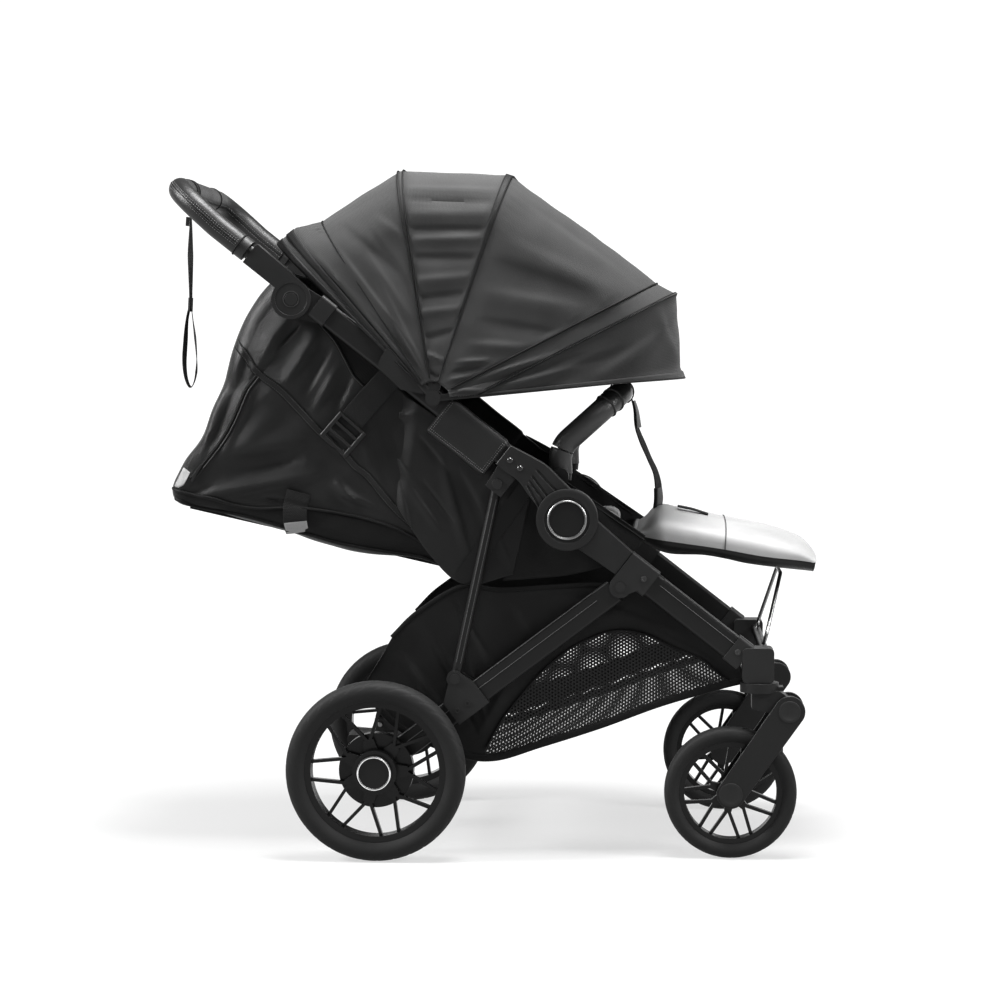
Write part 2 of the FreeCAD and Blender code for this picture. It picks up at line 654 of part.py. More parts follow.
HINGE_RADIUS = 31.0
HINGE_TONGUE_RADIUS = 28.0
HINGE_SLEEVE_LAP = 26.0
HINGE_SLEEVE_LIP = 2.0
HINGE_SLEEVE_START = UPPER_LENGTH - HINGE_SLEEVE_LAP
HINGE_SLEEVE_END = UPPER_LENGTH + HINGE_SLEEVE_LIP
HINGE_PIN_RADIUS = 6.0
BUTTON_RADIUS = 10.0
BUTTON_TRAVEL = 4.0
HINGE_BODY_GAP = 8.5
HINGE_BODY_LENGTH = 58.0
HINGE_BODY_START = HANDLE_HINGE_ALONG + HINGE_TONGUE_RADIUS + HINGE_BODY_GAP
HINGE_BODY_END = HINGE_BODY_START + HINGE_BODY_LENGTH


def handle_hinge_lowers():
    """Sleeves on the upper tubes' ends, with the tongue of each handle hinge."""
    sleeve = beam(UPPER, HINGE_SLEEVE_START, HINGE_SLEEVE_END, UPPER_OFF, UPPER_DEPTH + 2 * TUBE_WALL,
                  TUBE_IN - 2 * TUBE_WALL, TUBE_OUT + 2 * TUBE_WALL, TUBE_CORNER)
    tube = beam(UPPER, 0.0, UPPER_LENGTH, UPPER_OFF, UPPER_DEPTH, TUBE_IN, TUBE_OUT, TUBE_CORNER)
    neck = plate(UPPER, [
        (HINGE_SLEEVE_START + OVERRUN, UPPER_OFF - UPPER_DEPTH / 2),
        (HANDLE_HINGE_ALONG, -HINGE_TONGUE_RADIUS),
        (HANDLE_HINGE_ALONG, HINGE_TONGUE_RADIUS),
        (HINGE_SLEEVE_START + OVERRUN, UPPER_OFF + UPPER_DEPTH / 2),
    ], TONGUE_IN, TONGUE_OUT)
    tongue = disc(HANDLE_HINGE, HINGE_TONGUE_RADIUS, TONGUE_IN, TONGUE_OUT)
    bore = disc(HANDLE_HINGE, HINGE_PIN_RADIUS, TONGUE_IN - OVERRUN, TONGUE_OUT + OVERRUN)
    return both(sleeve.fuse(neck).fuse(tongue).cut(tube).cut(bore).removeSplitter())


SEAT_BRACKET_THICK = 3.5
BRACKET_WEB = 26.0
BACK_PIN_RADIUS = 5.0
BACK_EDGE_INSET = 46.0
BACK_EDGE_Y = TUBE_IN - BACK_EDGE_INSET
BACK_SOCKET_DEPTH = 14.0
BUMPER_BOSS_RADIUS = 13.0
BUMPER_PIN_RADIUS = 5.0
BUMPER_INSET = 34.0
BUMPER_Y = TUBE_IN - BUMPER_INSET
BUMPER_LUG = 12.0


def seat_side_brackets():
    """Pressed plates inside the upper tubes: bumper pivot above, backrest pivot below."""
    low, high = TUBE_IN - SEAT_BRACKET_THICK, TUBE_IN
    far = UPPER_START + 2 * BRACKET_WEB
    top = plate(UPPER, [
        (BUMPER_PIVOT_ALONG + OVERRUN, BUMPER_PIVOT_OFF), (far, UPPER_OFF + UPPER_DEPTH / 2 - TUBE_WALL),
        (far, UPPER_OFF - UPPER_DEPTH / 2), (UPPER_START, UPPER_OFF - UPPER_DEPTH / 2),
        (UPPER_START, UPPER_OFF),
    ], low, high)
    arm_line = line_between(BACK_HINGE, UPPER.at(UPPER_START + BRACKET_WEB, UPPER_OFF))
    arm_length = math.dist(BACK_HINGE, UPPER.at(UPPER_START + BRACKET_WEB, UPPER_OFF))
    arm = plate(arm_line, [
        (0.0, -BRACKET_WEB / 2), (arm_length, -BRACKET_WEB / 2), (arm_length, BRACKET_WEB / 2),
        (0.0, BRACKET_WEB / 2),
    ], low, high)
    lower = disc(BACK_HINGE, BRACKET_WEB / 2, low, high)
    pin = disc(BACK_HINGE, BACK_PIN_RADIUS - PIN_PLAY, BACK_EDGE_Y - BACK_SOCKET_DEPTH + SEAT_PLAY, low)
    boss = disc(BUMPER_PIVOT, BUMPER_BOSS_RADIUS, low, high)
    bumper_pin = disc(BUMPER_PIVOT, BUMPER_PIN_RADIUS - PIN_PLAY, BUMPER_Y + BUMPER_LUG / 2 - BUMPER_LUG, low)
    collar = disc(BUMPER_PIVOT, BUMPER_BOSS_RADIUS, BUMPER_Y + BUMPER_LUG / 2 + SEAT_PLAY, low)
    body = top.fuse(arm).fuse(lower).fuse(pin).fuse(boss).fuse(bumper_pin).fuse(collar)
    return both(body.removeSplitter())


PANEL_THICK = 2.2
PANEL_SPAN = 250.0
PANEL_SHARES = [(0.22, 0.0), (1.0, 0.0), (0.93, -0.42), (0.62, -0.74), (0.30, -0.76), (0.24, -0.36)]


def seat_side_panels():
    """The seat's fabric sides, sewn along the upper tubes."""
    high = CHEEK_IN - SEAT_PLAY
    outline = [(a * PANEL_SPAN, UPPER_OFF + o * PANEL_SPAN) for a, o in PANEL_SHARES]
    panel = plate(UPPER, outline, high - PANEL_THICK, high)
    eyelet = disc(BACK_HINGE, BACK_PIN_RADIUS + SEAT_PLAY, high - PANEL_THICK - OVERRUN, high + OVERRUN)
    return both(panel.cut(eyelet))


STRAP_WIDTH = 28.0
STRAP_THICK = 1.6
STRAP_TOP_ALONG = 300.0
STRAP_LENGTH = 128.0
STRAP_ANGLE = 228.0
BUCKLE_LENGTH = 34.0
BUCKLE_WIDTH = 40.0
BUCKLE_THICK = 7.0
STRAP_INSET = 6.0
STRAP_Y = TUBE_IN - STRAP_INSET


def recline_straps():
    """Webbing from the upper tubes down to a ladder-lock buckle on each side of the seat back."""
    top = UPPER.at(STRAP_TOP_ALONG, UPPER_OFF - UPPER_DEPTH / 4)
    run = Line(top, STRAP_ANGLE)
    strap = plate(run, [
        (0.0, -STRAP_WIDTH / 2), (STRAP_LENGTH, -STRAP_WIDTH / 2), (STRAP_LENGTH, STRAP_WIDTH / 2),
        (0.0, STRAP_WIDTH / 2),
    ], TUBE_IN - STRAP_THICK, TUBE_IN)
    buckle = plate(run, [
        (STRAP_LENGTH - BUCKLE_LENGTH, -BUCKLE_WIDTH / 2), (STRAP_LENGTH, -BUCKLE_WIDTH / 2),
        (STRAP_LENGTH, BUCKLE_WIDTH / 2), (STRAP_LENGTH - BUCKLE_LENGTH, BUCKLE_WIDTH / 2),
    ], STRAP_Y - BUCKLE_THICK / 2, TUBE_IN - STRAP_THICK)
    return both(strap.fuse(buckle).removeSplitter())


# Handle

HANDLE_TUBE_RADIUS = 12.5
GRIP_RADIUS = 18.0
HANDLE_SOCKET_LIP = 16.0
GRIP_GAP = 10.0
HANDLE_BEND_RUN = 60.0
HANDLE_TOP_RUN = 87.5
HANDLE_TUBE_START = HINGE_BODY_START + HANDLE_SOCKET_LIP
GRIP_START = HINGE_BODY_END + GRIP_GAP
HANDLE_BEND_ALONG = GRIP_START + HANDLE_BEND_RUN
HANDLE_TOP_ALONG = HANDLE_BEND_ALONG + HANDLE_TOP_RUN
HANDLE_TOP_OFF = 22.6
HANDLE_BEND = 110.0
HANDLE_CORNER = 58.0


def handle_wire(start):
    """The bow of the handle from one side to the other, from a place along the upper line."""
    left = [
        UPPER.space(start, UPPER_OFF, FRAME_PLANE), UPPER.space(HANDLE_BEND_ALONG, UPPER_OFF, FRAME_PLANE),
        UPPER.space(HANDLE_TOP_ALONG, HANDLE_TOP_OFF, FRAME_PLANE),
    ]
    right = [V(p.x, -p.y, p.z) for p in reversed(left)]
    radii = [0, HANDLE_BEND, HANDLE_CORNER, HANDLE_CORNER, HANDLE_BEND, 0]
    return path(left + right, radii)


def handle_tube():
    outer = pipe(handle_wire(HANDLE_TUBE_START), HANDLE_TUBE_RADIUS)
    inner = pipe(handle_wire(HANDLE_TUBE_START), HANDLE_TUBE_RADIUS - TUBE_WALL)
    return [outer.cut(inner)]


def handle_grip():
    outer = pipe(handle_wire(GRIP_START), GRIP_RADIUS)
    inner = pipe(handle_wire(GRIP_START), HANDLE_TUBE_RADIUS)
    return [outer.cut(inner)]


def handle_hinge_uppers():
    """Forked brackets that clasp the hinge tongues and hold the handle's ends."""
    low_edge, high_edge = UPPER_OFF - GRIP_RADIUS, UPPER_OFF + GRIP_RADIUS
    round_part = disc(HANDLE_HINGE, HINGE_RADIUS, CHEEK_IN, CHEEK_OUT)
    neck = plate(UPPER, [
        (HANDLE_HINGE_ALONG, low_edge), (HINGE_BODY_END, low_edge), (HINGE_BODY_END, high_edge),
        (HANDLE_HINGE_ALONG, HINGE_RADIUS),
    ], CHEEK_IN, CHEEK_OUT)
    gap_end = HINGE_BODY_START
    slot = plate(UPPER, [
        (0.0, -UPPER_LENGTH), (gap_end, -UPPER_LENGTH), (gap_end, UPPER_LENGTH), (0.0, UPPER_LENGTH),
    ], CHEEK_IN + CHEEK, CHEEK_OUT - CHEEK)
    socket = rod(UPPER.space(HANDLE_TUBE_START, UPPER_OFF, FRAME_PLANE),
                 UPPER.space(HINGE_BODY_END + OVERRUN, UPPER_OFF, FRAME_PLANE), HANDLE_TUBE_RADIUS)
    button_hole = disc(HANDLE_HINGE, BUTTON_RADIUS, CHEEK_IN - OVERRUN, CHEEK_IN + CHEEK - SEAT_PLAY * 2)
    pin = disc(HANDLE_HINGE, HINGE_PIN_RADIUS - PIN_PLAY, CHEEK_IN + CHEEK - SEAT_PLAY * 2, CHEEK_OUT)
    recess = ring(HANDLE_HINGE, HINGE_RADIUS - 2 * OVERRUN, BUTTON_RADIUS, CHEEK_OUT - TUBE_WALL / 2,
            CHEEK_OUT + OVERRUN)
    body = round_part.fuse(neck).cut(slot).cut(socket).fuse(pin).cut(button_hole).cut(recess)
    return both(body.removeSplitter())


def handle_button():
    """The round button inside each handle hinge, built on the left."""
    high = CHEEK_IN + CHEEK - SEAT_PLAY * 3 - BUTTON_TRAVEL
    return disc(HANDLE_HINGE, BUTTON_RADIUS - PIN_PLAY, CHEEK_IN - 2 * BUTTON_TRAVEL, high)


WRIST_STRAP_INSET = 104.0
WRIST_STRAP_Y = WRIST_STRAP_INSET - FRAME_PLANE
WRIST_STRAP_WIDTH = 15.0
WRIST_STRAP_THICK = 2.0
WRIST_STRAP_DROP = 182.0
WRIST_LOOP_LENGTH = 130.0
WRIST_LOOP_HALF = 8.0


def wrist_strap():
    """The hanging webbing strap: a collar round the grip, a straight fall and an open loop."""
    x, z = UPPER.at(HANDLE_TOP_ALONG, HANDLE_TOP_OFF)
    low, high = WRIST_STRAP_Y - WRIST_STRAP_WIDTH / 2, WRIST_STRAP_Y + WRIST_STRAP_WIDTH / 2
    collar = ring((x, z), GRIP_RADIUS + WRIST_STRAP_THICK, GRIP_RADIUS, low, high)
    half = WRIST_STRAP_THICK / 2
    top = z - GRIP_RADIUS - half
    foot = top - WRIST_STRAP_DROP
    fall = prism([(x - half, foot), (x + half, foot), (x + half, top), (x - half, top)], low, high)
    end = foot - WRIST_LOOP_LENGTH
    wide = WRIST_LOOP_HALF
    outer = prism([(x, foot), (x + wide, (foot + end) / 2), (x + wide / 2, end), (x - wide / 2, end),
            (x - wide, (foot + end) / 2)], low, high)
    inset = WRIST_STRAP_THICK
    slim = wide - inset
    inner = prism([
        (x, foot - 4 * inset), (x + slim, (foot + end) / 2), (x + slim / 2, end + inset),
        (x - slim / 2, end + inset),
        (x - slim, (foot + end) / 2),
    ], low - OVERRUN, high + OVERRUN)
    return [collar.fuse(fall).fuse(outer.cut(inner)).removeSplitter()]


# Rear frame, brake and struts

AXLE_TUBE_RADIUS = 10.0
AXLE_BOSS_RADIUS = 20.0
STUB_RADIUS = 6.0
COLLAR_LENGTH = 5.5
AXLE_TUBE_LIP = 1.0
BRAKE_GAP = 3.0
DRUM_LIP = 2.0
REAR_HUB_WIDTH = 48.0
STUB_INSET = 3.0
BRAKE_BLOCK_END = TUBE_OUT + CHEEK + COLLAR_LENGTH
BRAKE_RING_FACE = BRAKE_BLOCK_END + BRAKE_GAP
REAR_HUB_IN = BRAKE_RING_FACE + DRUM_LIP
REAR_HUB_OUT = REAR_HUB_IN + REAR_HUB_WIDTH
AXLE_TUBE_END = BRAKE_BLOCK_END + AXLE_TUBE_LIP
STUB_END = REAR_HUB_OUT - STUB_INSET
REAR_TONGUE_RADIUS = 11.5
REAR_LEG_START = 12.0
REAR_LEG_IN = TONGUE_IN + SEAT_PLAY
REAR_LEG_OUT = TONGUE_OUT - SEAT_PLAY
REAR_CORNER = 4.5


def rear_leg_tubes():
    """Rear legs with a solid tongue at the pivot and a boss round the axle."""
    tube = beam(REAR_LEG, REAR_LEG_START, REAR_LEG_LENGTH, 0.0, REAR_LEG_DEPTH, REAR_LEG_IN, REAR_LEG_OUT,
            REAR_CORNER)
    tongue = disc(REAR_PIVOT, REAR_TONGUE_RADIUS, REAR_LEG_IN, REAR_LEG_OUT)
    link = plate(REAR_LEG, [
        (0.0, -REAR_TONGUE_RADIUS), (2 * REAR_LEG_START, -REAR_TONGUE_RADIUS),
        (2 * REAR_LEG_START, REAR_TONGUE_RADIUS), (0.0, REAR_TONGUE_RADIUS),
    ], REAR_LEG_IN, REAR_LEG_OUT)
    boss = disc(REAR_AXLE, AXLE_BOSS_RADIUS, REAR_LEG_IN, TUBE_OUT + CHEEK)
    cavity = beam(REAR_LEG, 3 * REAR_LEG_START, REAR_LEG_LENGTH - AXLE_BOSS_RADIUS - TUBE_WALL, 0.0,
                  REAR_LEG_DEPTH - 2 * TUBE_WALL, REAR_LEG_IN + TUBE_WALL, REAR_LEG_OUT - TUBE_WALL, REAR_CORNER / 2)
    pivot = disc(REAR_PIVOT, REAR_PIN_RADIUS, REAR_LEG_IN - OVERRUN, REAR_LEG_OUT + OVERRUN)
    axle = disc(REAR_AXLE, AXLE_TUBE_RADIUS, REAR_LEG_IN - OVERRUN, TUBE_OUT + CHEEK + OVERRUN)
    body = tube.fuse(tongue).fuse(link).fuse(boss).cut(pivot).cut(axle).cut(cavity)
    return both(body)


REAR_BRACKET_SPAN = 58.0
REAR_BRACKET_START = 272.0
HANGER_RADIUS = 13.0
REAR_BRACKET_SCREWS = ((299.6, -3.0), (319.0, -3.0))


def rear_brackets():
    """Cheeked brackets on the rear legs that hold the struts' feet."""
    low_edge = -REAR_LEG_DEPTH / 2 - TUBE_WALL * 2
    high_edge = REAR_LEG_DEPTH / 2
    end = REAR_BRACKET_START + REAR_BRACKET_SPAN
    cheeks = plate(REAR_LEG, [
        (REAR_BRACKET_START, low_edge), (end, low_edge), (end, high_edge),
        (STRUT_FOOT_ALONG + HANGER_RADIUS, STRUT_FOOT_RISE),
        (STRUT_FOOT_ALONG - HANGER_RADIUS, STRUT_FOOT_RISE), (REAR_BRACKET_START, high_edge),
    ], CHEEK_IN, CHEEK_OUT)
    top = disc(STRUT_FOOT, HANGER_RADIUS, CHEEK_IN, CHEEK_OUT)
    tube = beam(REAR_LEG, REAR_LEG_START, REAR_LEG_LENGTH, 0.0, REAR_LEG_DEPTH, REAR_LEG_IN, REAR_LEG_OUT,
            REAR_CORNER)
    slot = plate(REAR_LEG, [
        (0.0, high_edge), (REAR_LEG_LENGTH, high_edge), (REAR_LEG_LENGTH, REAR_LEG_LENGTH),
        (0.0, REAR_LEG_LENGTH),
    ], CHEEK_IN + CHEEK, CHEEK_OUT - CHEEK)
    head = disc(STRUT_FOOT, PIN_HEAD_RADIUS, CHEEK_OUT, CHEEK_OUT + PIN_HEAD)
    return both(cheeks.fuse(top).cut(slot).cut(tube).fuse(head).removeSplitter())


def rear_bracket_screw_places():
    return [(REAR_LEG.at(along, off), CHEEK_OUT, SCREW_DEPTH) for along, off in REAR_BRACKET_SCREWS]


def rear_struts():
    """Round bars from the clevises to the rear brackets, with flat eyes at both ends."""
    length = math.dist(STRUT_TOP, STRUT_FOOT)
    bar = rod(STRUT.space(0.0, 0.0, FRAME_PLANE), STRUT.space(length, 0.0, FRAME_PLANE), STRUT_RADIUS)
    inset = TONGUE_IN + SEAT_PLAY
    outset = TONGUE_OUT - SEAT_PLAY
    top = disc(STRUT_TOP, STRUT_RADIUS + TUBE_WALL, inset, outset)
    foot = disc(STRUT_FOOT, STRUT_RADIUS + TUBE_WALL, inset, outset)
    bore = disc(STRUT_TOP, STRUT_PIN_RADIUS, inset - OVERRUN, outset + OVERRUN)
    return both(bar.fuse(top).fuse(foot).cut(bore).removeSplitter())


def rear_axle():
    """One cross tube with a stub at each end for the wheels."""
    tube = disc(REAR_AXLE, AXLE_TUBE_RADIUS, -AXLE_TUBE_END, AXLE_TUBE_END)
    stub = disc(REAR_AXLE, STUB_RADIUS - PIN_PLAY, -STUB_END, STUB_END)
    return [tube.fuse(stub).removeSplitter()]


BRAKE_PITCH_RADIUS = 46.0
BRAKE_PIN_RADIUS = 4.0
BRAKE_HOLE_RADIUS = 4.8
BRAKE_HOLES = 12
BRAKE_TRAVEL = 8.0
BRAKE_PIN_LENGTH = 26.0
BRAKE_BLOCK = 20.0
BRAKE_ANGLE = 180.0
BRAKE_RING_RADIUS = 58.0
BRAKE_PIN_CENTRE = Line(REAR_AXLE, BRAKE_ANGLE).at(BRAKE_PITCH_RADIUS)


def brake_housings():
    """Blocks behind the axle ends, in which the brake pins slide."""
    line = Line(REAR_AXLE, BRAKE_ANGLE)
    low = BRAKE_BLOCK_END - BRAKE_PIN_LENGTH + 2 * OVERRUN
    block = plate(line, [
        (AXLE_BOSS_RADIUS / 2, -BRAKE_BLOCK / 2), (BRAKE_PITCH_RADIUS + BRAKE_BLOCK / 2, -BRAKE_BLOCK / 2),
        (BRAKE_PITCH_RADIUS + BRAKE_BLOCK / 2, BRAKE_BLOCK / 2), (AXLE_BOSS_RADIUS / 2, BRAKE_BLOCK / 2),
    ], low, BRAKE_BLOCK_END)
    boss = disc(REAR_AXLE, AXLE_BOSS_RADIUS + SEAT_PLAY, low - OVERRUN, TUBE_OUT + CHEEK)
    axle = disc(REAR_AXLE, AXLE_TUBE_RADIUS, low - OVERRUN, BRAKE_BLOCK_END + OVERRUN)
    leg = beam(REAR_LEG, 0.0, REAR_LEG_LENGTH, 0.0, REAR_LEG_DEPTH, REAR_LEG_IN, REAR_LEG_OUT, REAR_CORNER)
    bore = disc(BRAKE_PIN_CENTRE, BRAKE_PIN_RADIUS, low - OVERRUN, BRAKE_BLOCK_END + OVERRUN)
    collar = ring(REAR_AXLE, AXLE_BOSS_RADIUS, AXLE_TUBE_RADIUS, TUBE_OUT + CHEEK, BRAKE_BLOCK_END)
    return both(block.cut(boss).cut(leg).fuse(collar).cut(bore).cut(axle).removeSplitter())


def brake_pin():
    """One sliding brake pin, built on the left."""
    high = BRAKE_BLOCK_END
    return disc(BRAKE_PIN_CENTRE, BRAKE_PIN_RADIUS - PIN_PLAY, high - BRAKE_PIN_LENGTH, high)


PEDAL_HALF_WIDTH = 42.0
PEDAL_REACH = 72.0
PEDAL_THICK = 9.0
PEDAL_RISE = 16.0
PEDAL_COLLAR = 5.0
PEDAL_CORNER = 4.0


def brake_pedal():
    """The foot lever, on a collar round the middle of the rear axle."""
    collar = disc(REAR_AXLE, AXLE_TUBE_RADIUS + PEDAL_COLLAR, -PEDAL_HALF_WIDTH / 2, PEDAL_HALF_WIDTH / 2)
    x, z = REAR_AXLE
    low = z + PEDAL_RISE - PEDAL_THICK
    lever = prism([
        (x, low), (x - PEDAL_REACH / 2, low), (x - PEDAL_REACH, low + PEDAL_THICK / 2),
        (x - PEDAL_REACH, z + PEDAL_RISE + PEDAL_THICK / 2),
        (x - PEDAL_REACH / 2, z + PEDAL_RISE), (x, z + PEDAL_RISE),
    ], -PEDAL_HALF_WIDTH / 2, PEDAL_HALF_WIDTH / 2)
    pad = prism([
        (x - PEDAL_REACH, low), (x - PEDAL_REACH / 2, low),
        (x - PEDAL_REACH / 2, z + PEDAL_RISE + PEDAL_THICK / 2),
        (x - PEDAL_REACH, z + PEDAL_RISE + PEDAL_THICK / 2),
    ], -PEDAL_HALF_WIDTH, PEDAL_HALF_WIDTH, PEDAL_CORNER)
    bore = disc(REAR_AXLE, AXLE_TUBE_RADIUS + PIN_PLAY, -PEDAL_HALF_WIDTH, PEDAL_HALF_WIDTH)
    return [collar.fuse(lever).fuse(pad).cut(bore).removeSplitter()]


# Wheels

SPOKE_PAIRS = 7
SPOKE_SPREAD_ANGLE = 36.6
SPOKE_WIDTH = 5.0
REAR_TYRE_WIDTH = 46.0
REAR_TYRE_DEPTH = 30.0
REAR_RIM_WALL = 10.0
REAR_RIM_WIDTH = 30.0
REAR_HUB_RADIUS = 34.0
REAR_SPOKE_ROOT = 50.0
REAR_PHASE_ANGLE = 0.0
CAP_RADIUS = 27.0
CAP_RISE = 4.0
CAP_END = REAR_HUB_OUT + CAP_RISE
CAP_DISH_SHARE = 0.85
FRONT_TYRE_WIDTH = 38.0
FRONT_TYRE_DEPTH = 23.0
FRONT_RIM_WALL = 8.0
FRONT_RIM_WIDTH = 24.0
FRONT_HUB_RADIUS = 20.0
FRONT_HUB_WIDTH = 41.0
FRONT_SPOKE_ROOT = 32.0
FRONT_PHASE_ANGLE = 5.5
FRONT_STUB_RADIUS = 5.0


TYRE_BEAD_SHARE = 0.72
TYRE_SHOULDER_SHARE = 0.9


def tyre(axle, middle, radius, width, depth):
    """A tyre turned from a section with a round crown and full sides."""
    x, z = axle
    half = width / 2
    inner = z + radius - depth
    shoulder = z + radius - depth / 3
    belly = (inner + shoulder) / 2
    bead = half * TYRE_BEAD_SHARE
    edge = half * TYRE_SHOULDER_SHARE

    def spot(y, height):
        return V(x, middle + y, height)

    face = Part.Face(Part.Wire([
        Part.LineSegment(spot(-bead, inner), spot(bead, inner)).toShape(),
        Part.Arc(spot(bead, inner), spot(half, belly), spot(edge, shoulder)).toShape(),
        Part.Arc(spot(edge, shoulder), spot(0.0, z + radius), spot(-edge, shoulder)).toShape(),
        Part.Arc(spot(-edge, shoulder), spot(-half, belly), spot(-bead, inner)).toShape(),
    ]))
    return face.revolve(V(x, 0, z), ACROSS, 360)


def spoke(axle, root, tip, angle, lean, low, high):
    """One flat spoke, from a place on the hub's scallop to its place on the rim."""
    start = Line(axle, angle).at(root)
    end = Line(axle, angle + lean).at(tip)
    line = line_between(start, end)
    length = math.dist(start, end)
    half = SPOKE_WIDTH / 2
    return plate(line, [(0.0, -half), (length, -half), (length, half), (0.0, half)], low, high)


def rim(axle, middle, tyre_bore, wall, width, root, phase, hub_radius, hub_low, hub_high, bore):
    """A rim with seven V-shaped pairs of spokes and a scalloped hub."""
    body = ring(axle, tyre_bore, tyre_bore - wall, middle - width / 2, middle + width / 2)
    low, high = middle - SPOKE_WIDTH, middle + SPOKE_WIDTH
    for n in range(SPOKE_PAIRS):
        angle = phase + n * 360 / SPOKE_PAIRS
        for lean in (-SPOKE_SPREAD_ANGLE / 2, SPOKE_SPREAD_ANGLE / 2):
            body = body.fuse(spoke(axle, root - SPOKE_WIDTH, tyre_bore - wall / 2, angle, lean, low, high))
        lobe = Line(axle, angle)
        half = root * math.sin(math.pi / SPOKE_PAIRS) * 3 / 4
        body = body.fuse(plate(lobe, [(0.0, -half), (root, -half / 2), (root, half / 2), (0.0, half)],
                low, high))
    body = body.fuse(disc(axle, hub_radius, hub_low, hub_high))
    return body.cut(disc(axle, bore, hub_low - OVERRUN, hub_high + OVERRUN)).removeSplitter()


def rear_rim():
    body = rim(REAR_AXLE, REAR_Y, REAR_WHEEL_RADIUS - REAR_TYRE_DEPTH, REAR_RIM_WALL, REAR_RIM_WIDTH,
            REAR_SPOKE_ROOT,
               REAR_PHASE_ANGLE, REAR_HUB_RADIUS, REAR_HUB_IN, REAR_HUB_OUT - OVERRUN, STUB_RADIUS)
    drum = ring(REAR_AXLE, BRAKE_RING_RADIUS, STUB_RADIUS, BRAKE_RING_FACE, REAR_Y - SPOKE_WIDTH)
    for n in range(BRAKE_HOLES):
        place = Line(REAR_AXLE, BRAKE_ANGLE + n * 360 / BRAKE_HOLES).at(BRAKE_PITCH_RADIUS)
        drum = drum.cut(disc(place, BRAKE_HOLE_RADIUS, BRAKE_RING_FACE - OVERRUN,
                BRAKE_RING_FACE + BRAKE_TRAVEL))
    return body.fuse(drum).removeSplitter()


def rear_cap():
    """The round cap that closes the hub, with a raised ring round a bare flat disc."""
    base = REAR_HUB_OUT - OVERRUN
    body = disc(REAR_AXLE, CAP_RADIUS, base, CAP_END)
    dish = disc(REAR_AXLE, CAP_RADIUS * CAP_DISH_SHARE, CAP_END - TUBE_WALL / 2, CAP_END + OVERRUN)
    stub = disc(REAR_AXLE, STUB_RADIUS + SEAT_PLAY, base - OVERRUN, STUB_END + SEAT_PLAY)
    return body.cut(dish).cut(stub)


def front_rim():
    half = FRONT_HUB_WIDTH / 2
    return rim(FRONT_AXLE, CASTER_Y, FRONT_WHEEL_RADIUS - FRONT_TYRE_DEPTH, FRONT_RIM_WALL, FRONT_RIM_WIDTH,
               FRONT_SPOKE_ROOT, FRONT_PHASE_ANGLE, FRONT_HUB_RADIUS, CASTER_Y - half, CASTER_Y + half,
               FRONT_STUB_RADIUS)


# Casters

FLANGE_RADIUS = 30.0
FLANGE_TOP = 275.5
FLANGE_THICK = 15.0
CROWN_FRONT = 445.0
CROWN_REAR = 402.0
CROWN_FOOT = 226.0
LUG_RADIUS = 20.0
LUG_HALF_WIDTH = 21.0
FORK_PIN_RADIUS = 6.0
FORK_HEAD_RADIUS = 24.0
FORK_FOOT_RADIUS = 22.0
FORK_CHEEK = 7.5
FORK_GAP = 21.4
BRIDGE = (27.0, 44.0)
BRIDGE_DEPTH = 30.0
LEVER_REACH = 37.0
LEVER_WIDTH = 26.0
LEVER_THICK = 6.0


def caster_crown():
    """The swivelling crown: stem, flange, lock lever and the lug that carries the fork."""
    stem_top = HOUSING_BLOCK_Z[0] + SWIVEL_DEPTH - OVERRUN
    stem = Part.makeCylinder(SWIVEL_RADIUS - PIN_PLAY, stem_top - FLANGE_TOP + OVERRUN,
            V(CASTER_X, CASTER_Y, FLANGE_TOP - OVERRUN))
    flange = Part.makeCylinder(FLANGE_RADIUS, FLANGE_THICK, V(CASTER_X, CASTER_Y, FLANGE_TOP - FLANGE_THICK))
    foot = FLANGE_TOP - FLANGE_THICK
    low, high = CASTER_Y - LUG_HALF_WIDTH, CASTER_Y + LUG_HALF_WIDTH
    block = prism([
        (CROWN_REAR, foot + OVERRUN), (CROWN_REAR, CROWN_FOOT + LUG_RADIUS / 2), (CROWN_FRONT, CROWN_FOOT),
        (FORK_PIVOT_X, FORK_PIVOT_Z - LUG_RADIUS),
        (FORK_PIVOT_X, FORK_PIVOT_Z + LUG_RADIUS), (CROWN_FRONT, foot + OVERRUN),
    ], low, high)
    lug = disc(FORK_PIVOT, LUG_RADIUS, low, high)
    lever_low = foot + LEVER_THICK / 2
    lever_high = lever_low + LEVER_THICK
    lever = prism([
        (CASTER_X, lever_low), (CASTER_X + LEVER_REACH, lever_low), (CASTER_X + LEVER_REACH, lever_high),
        (CASTER_X, lever_high),
    ], CASTER_Y - LEVER_WIDTH / 2, CASTER_Y + LEVER_WIDTH / 2)
    bore = disc(FORK_PIVOT, FORK_PIN_RADIUS, low - OVERRUN, high + OVERRUN)
    return flange.fuse(stem).fuse(block).fuse(lug).fuse(lever).cut(bore).removeSplitter()


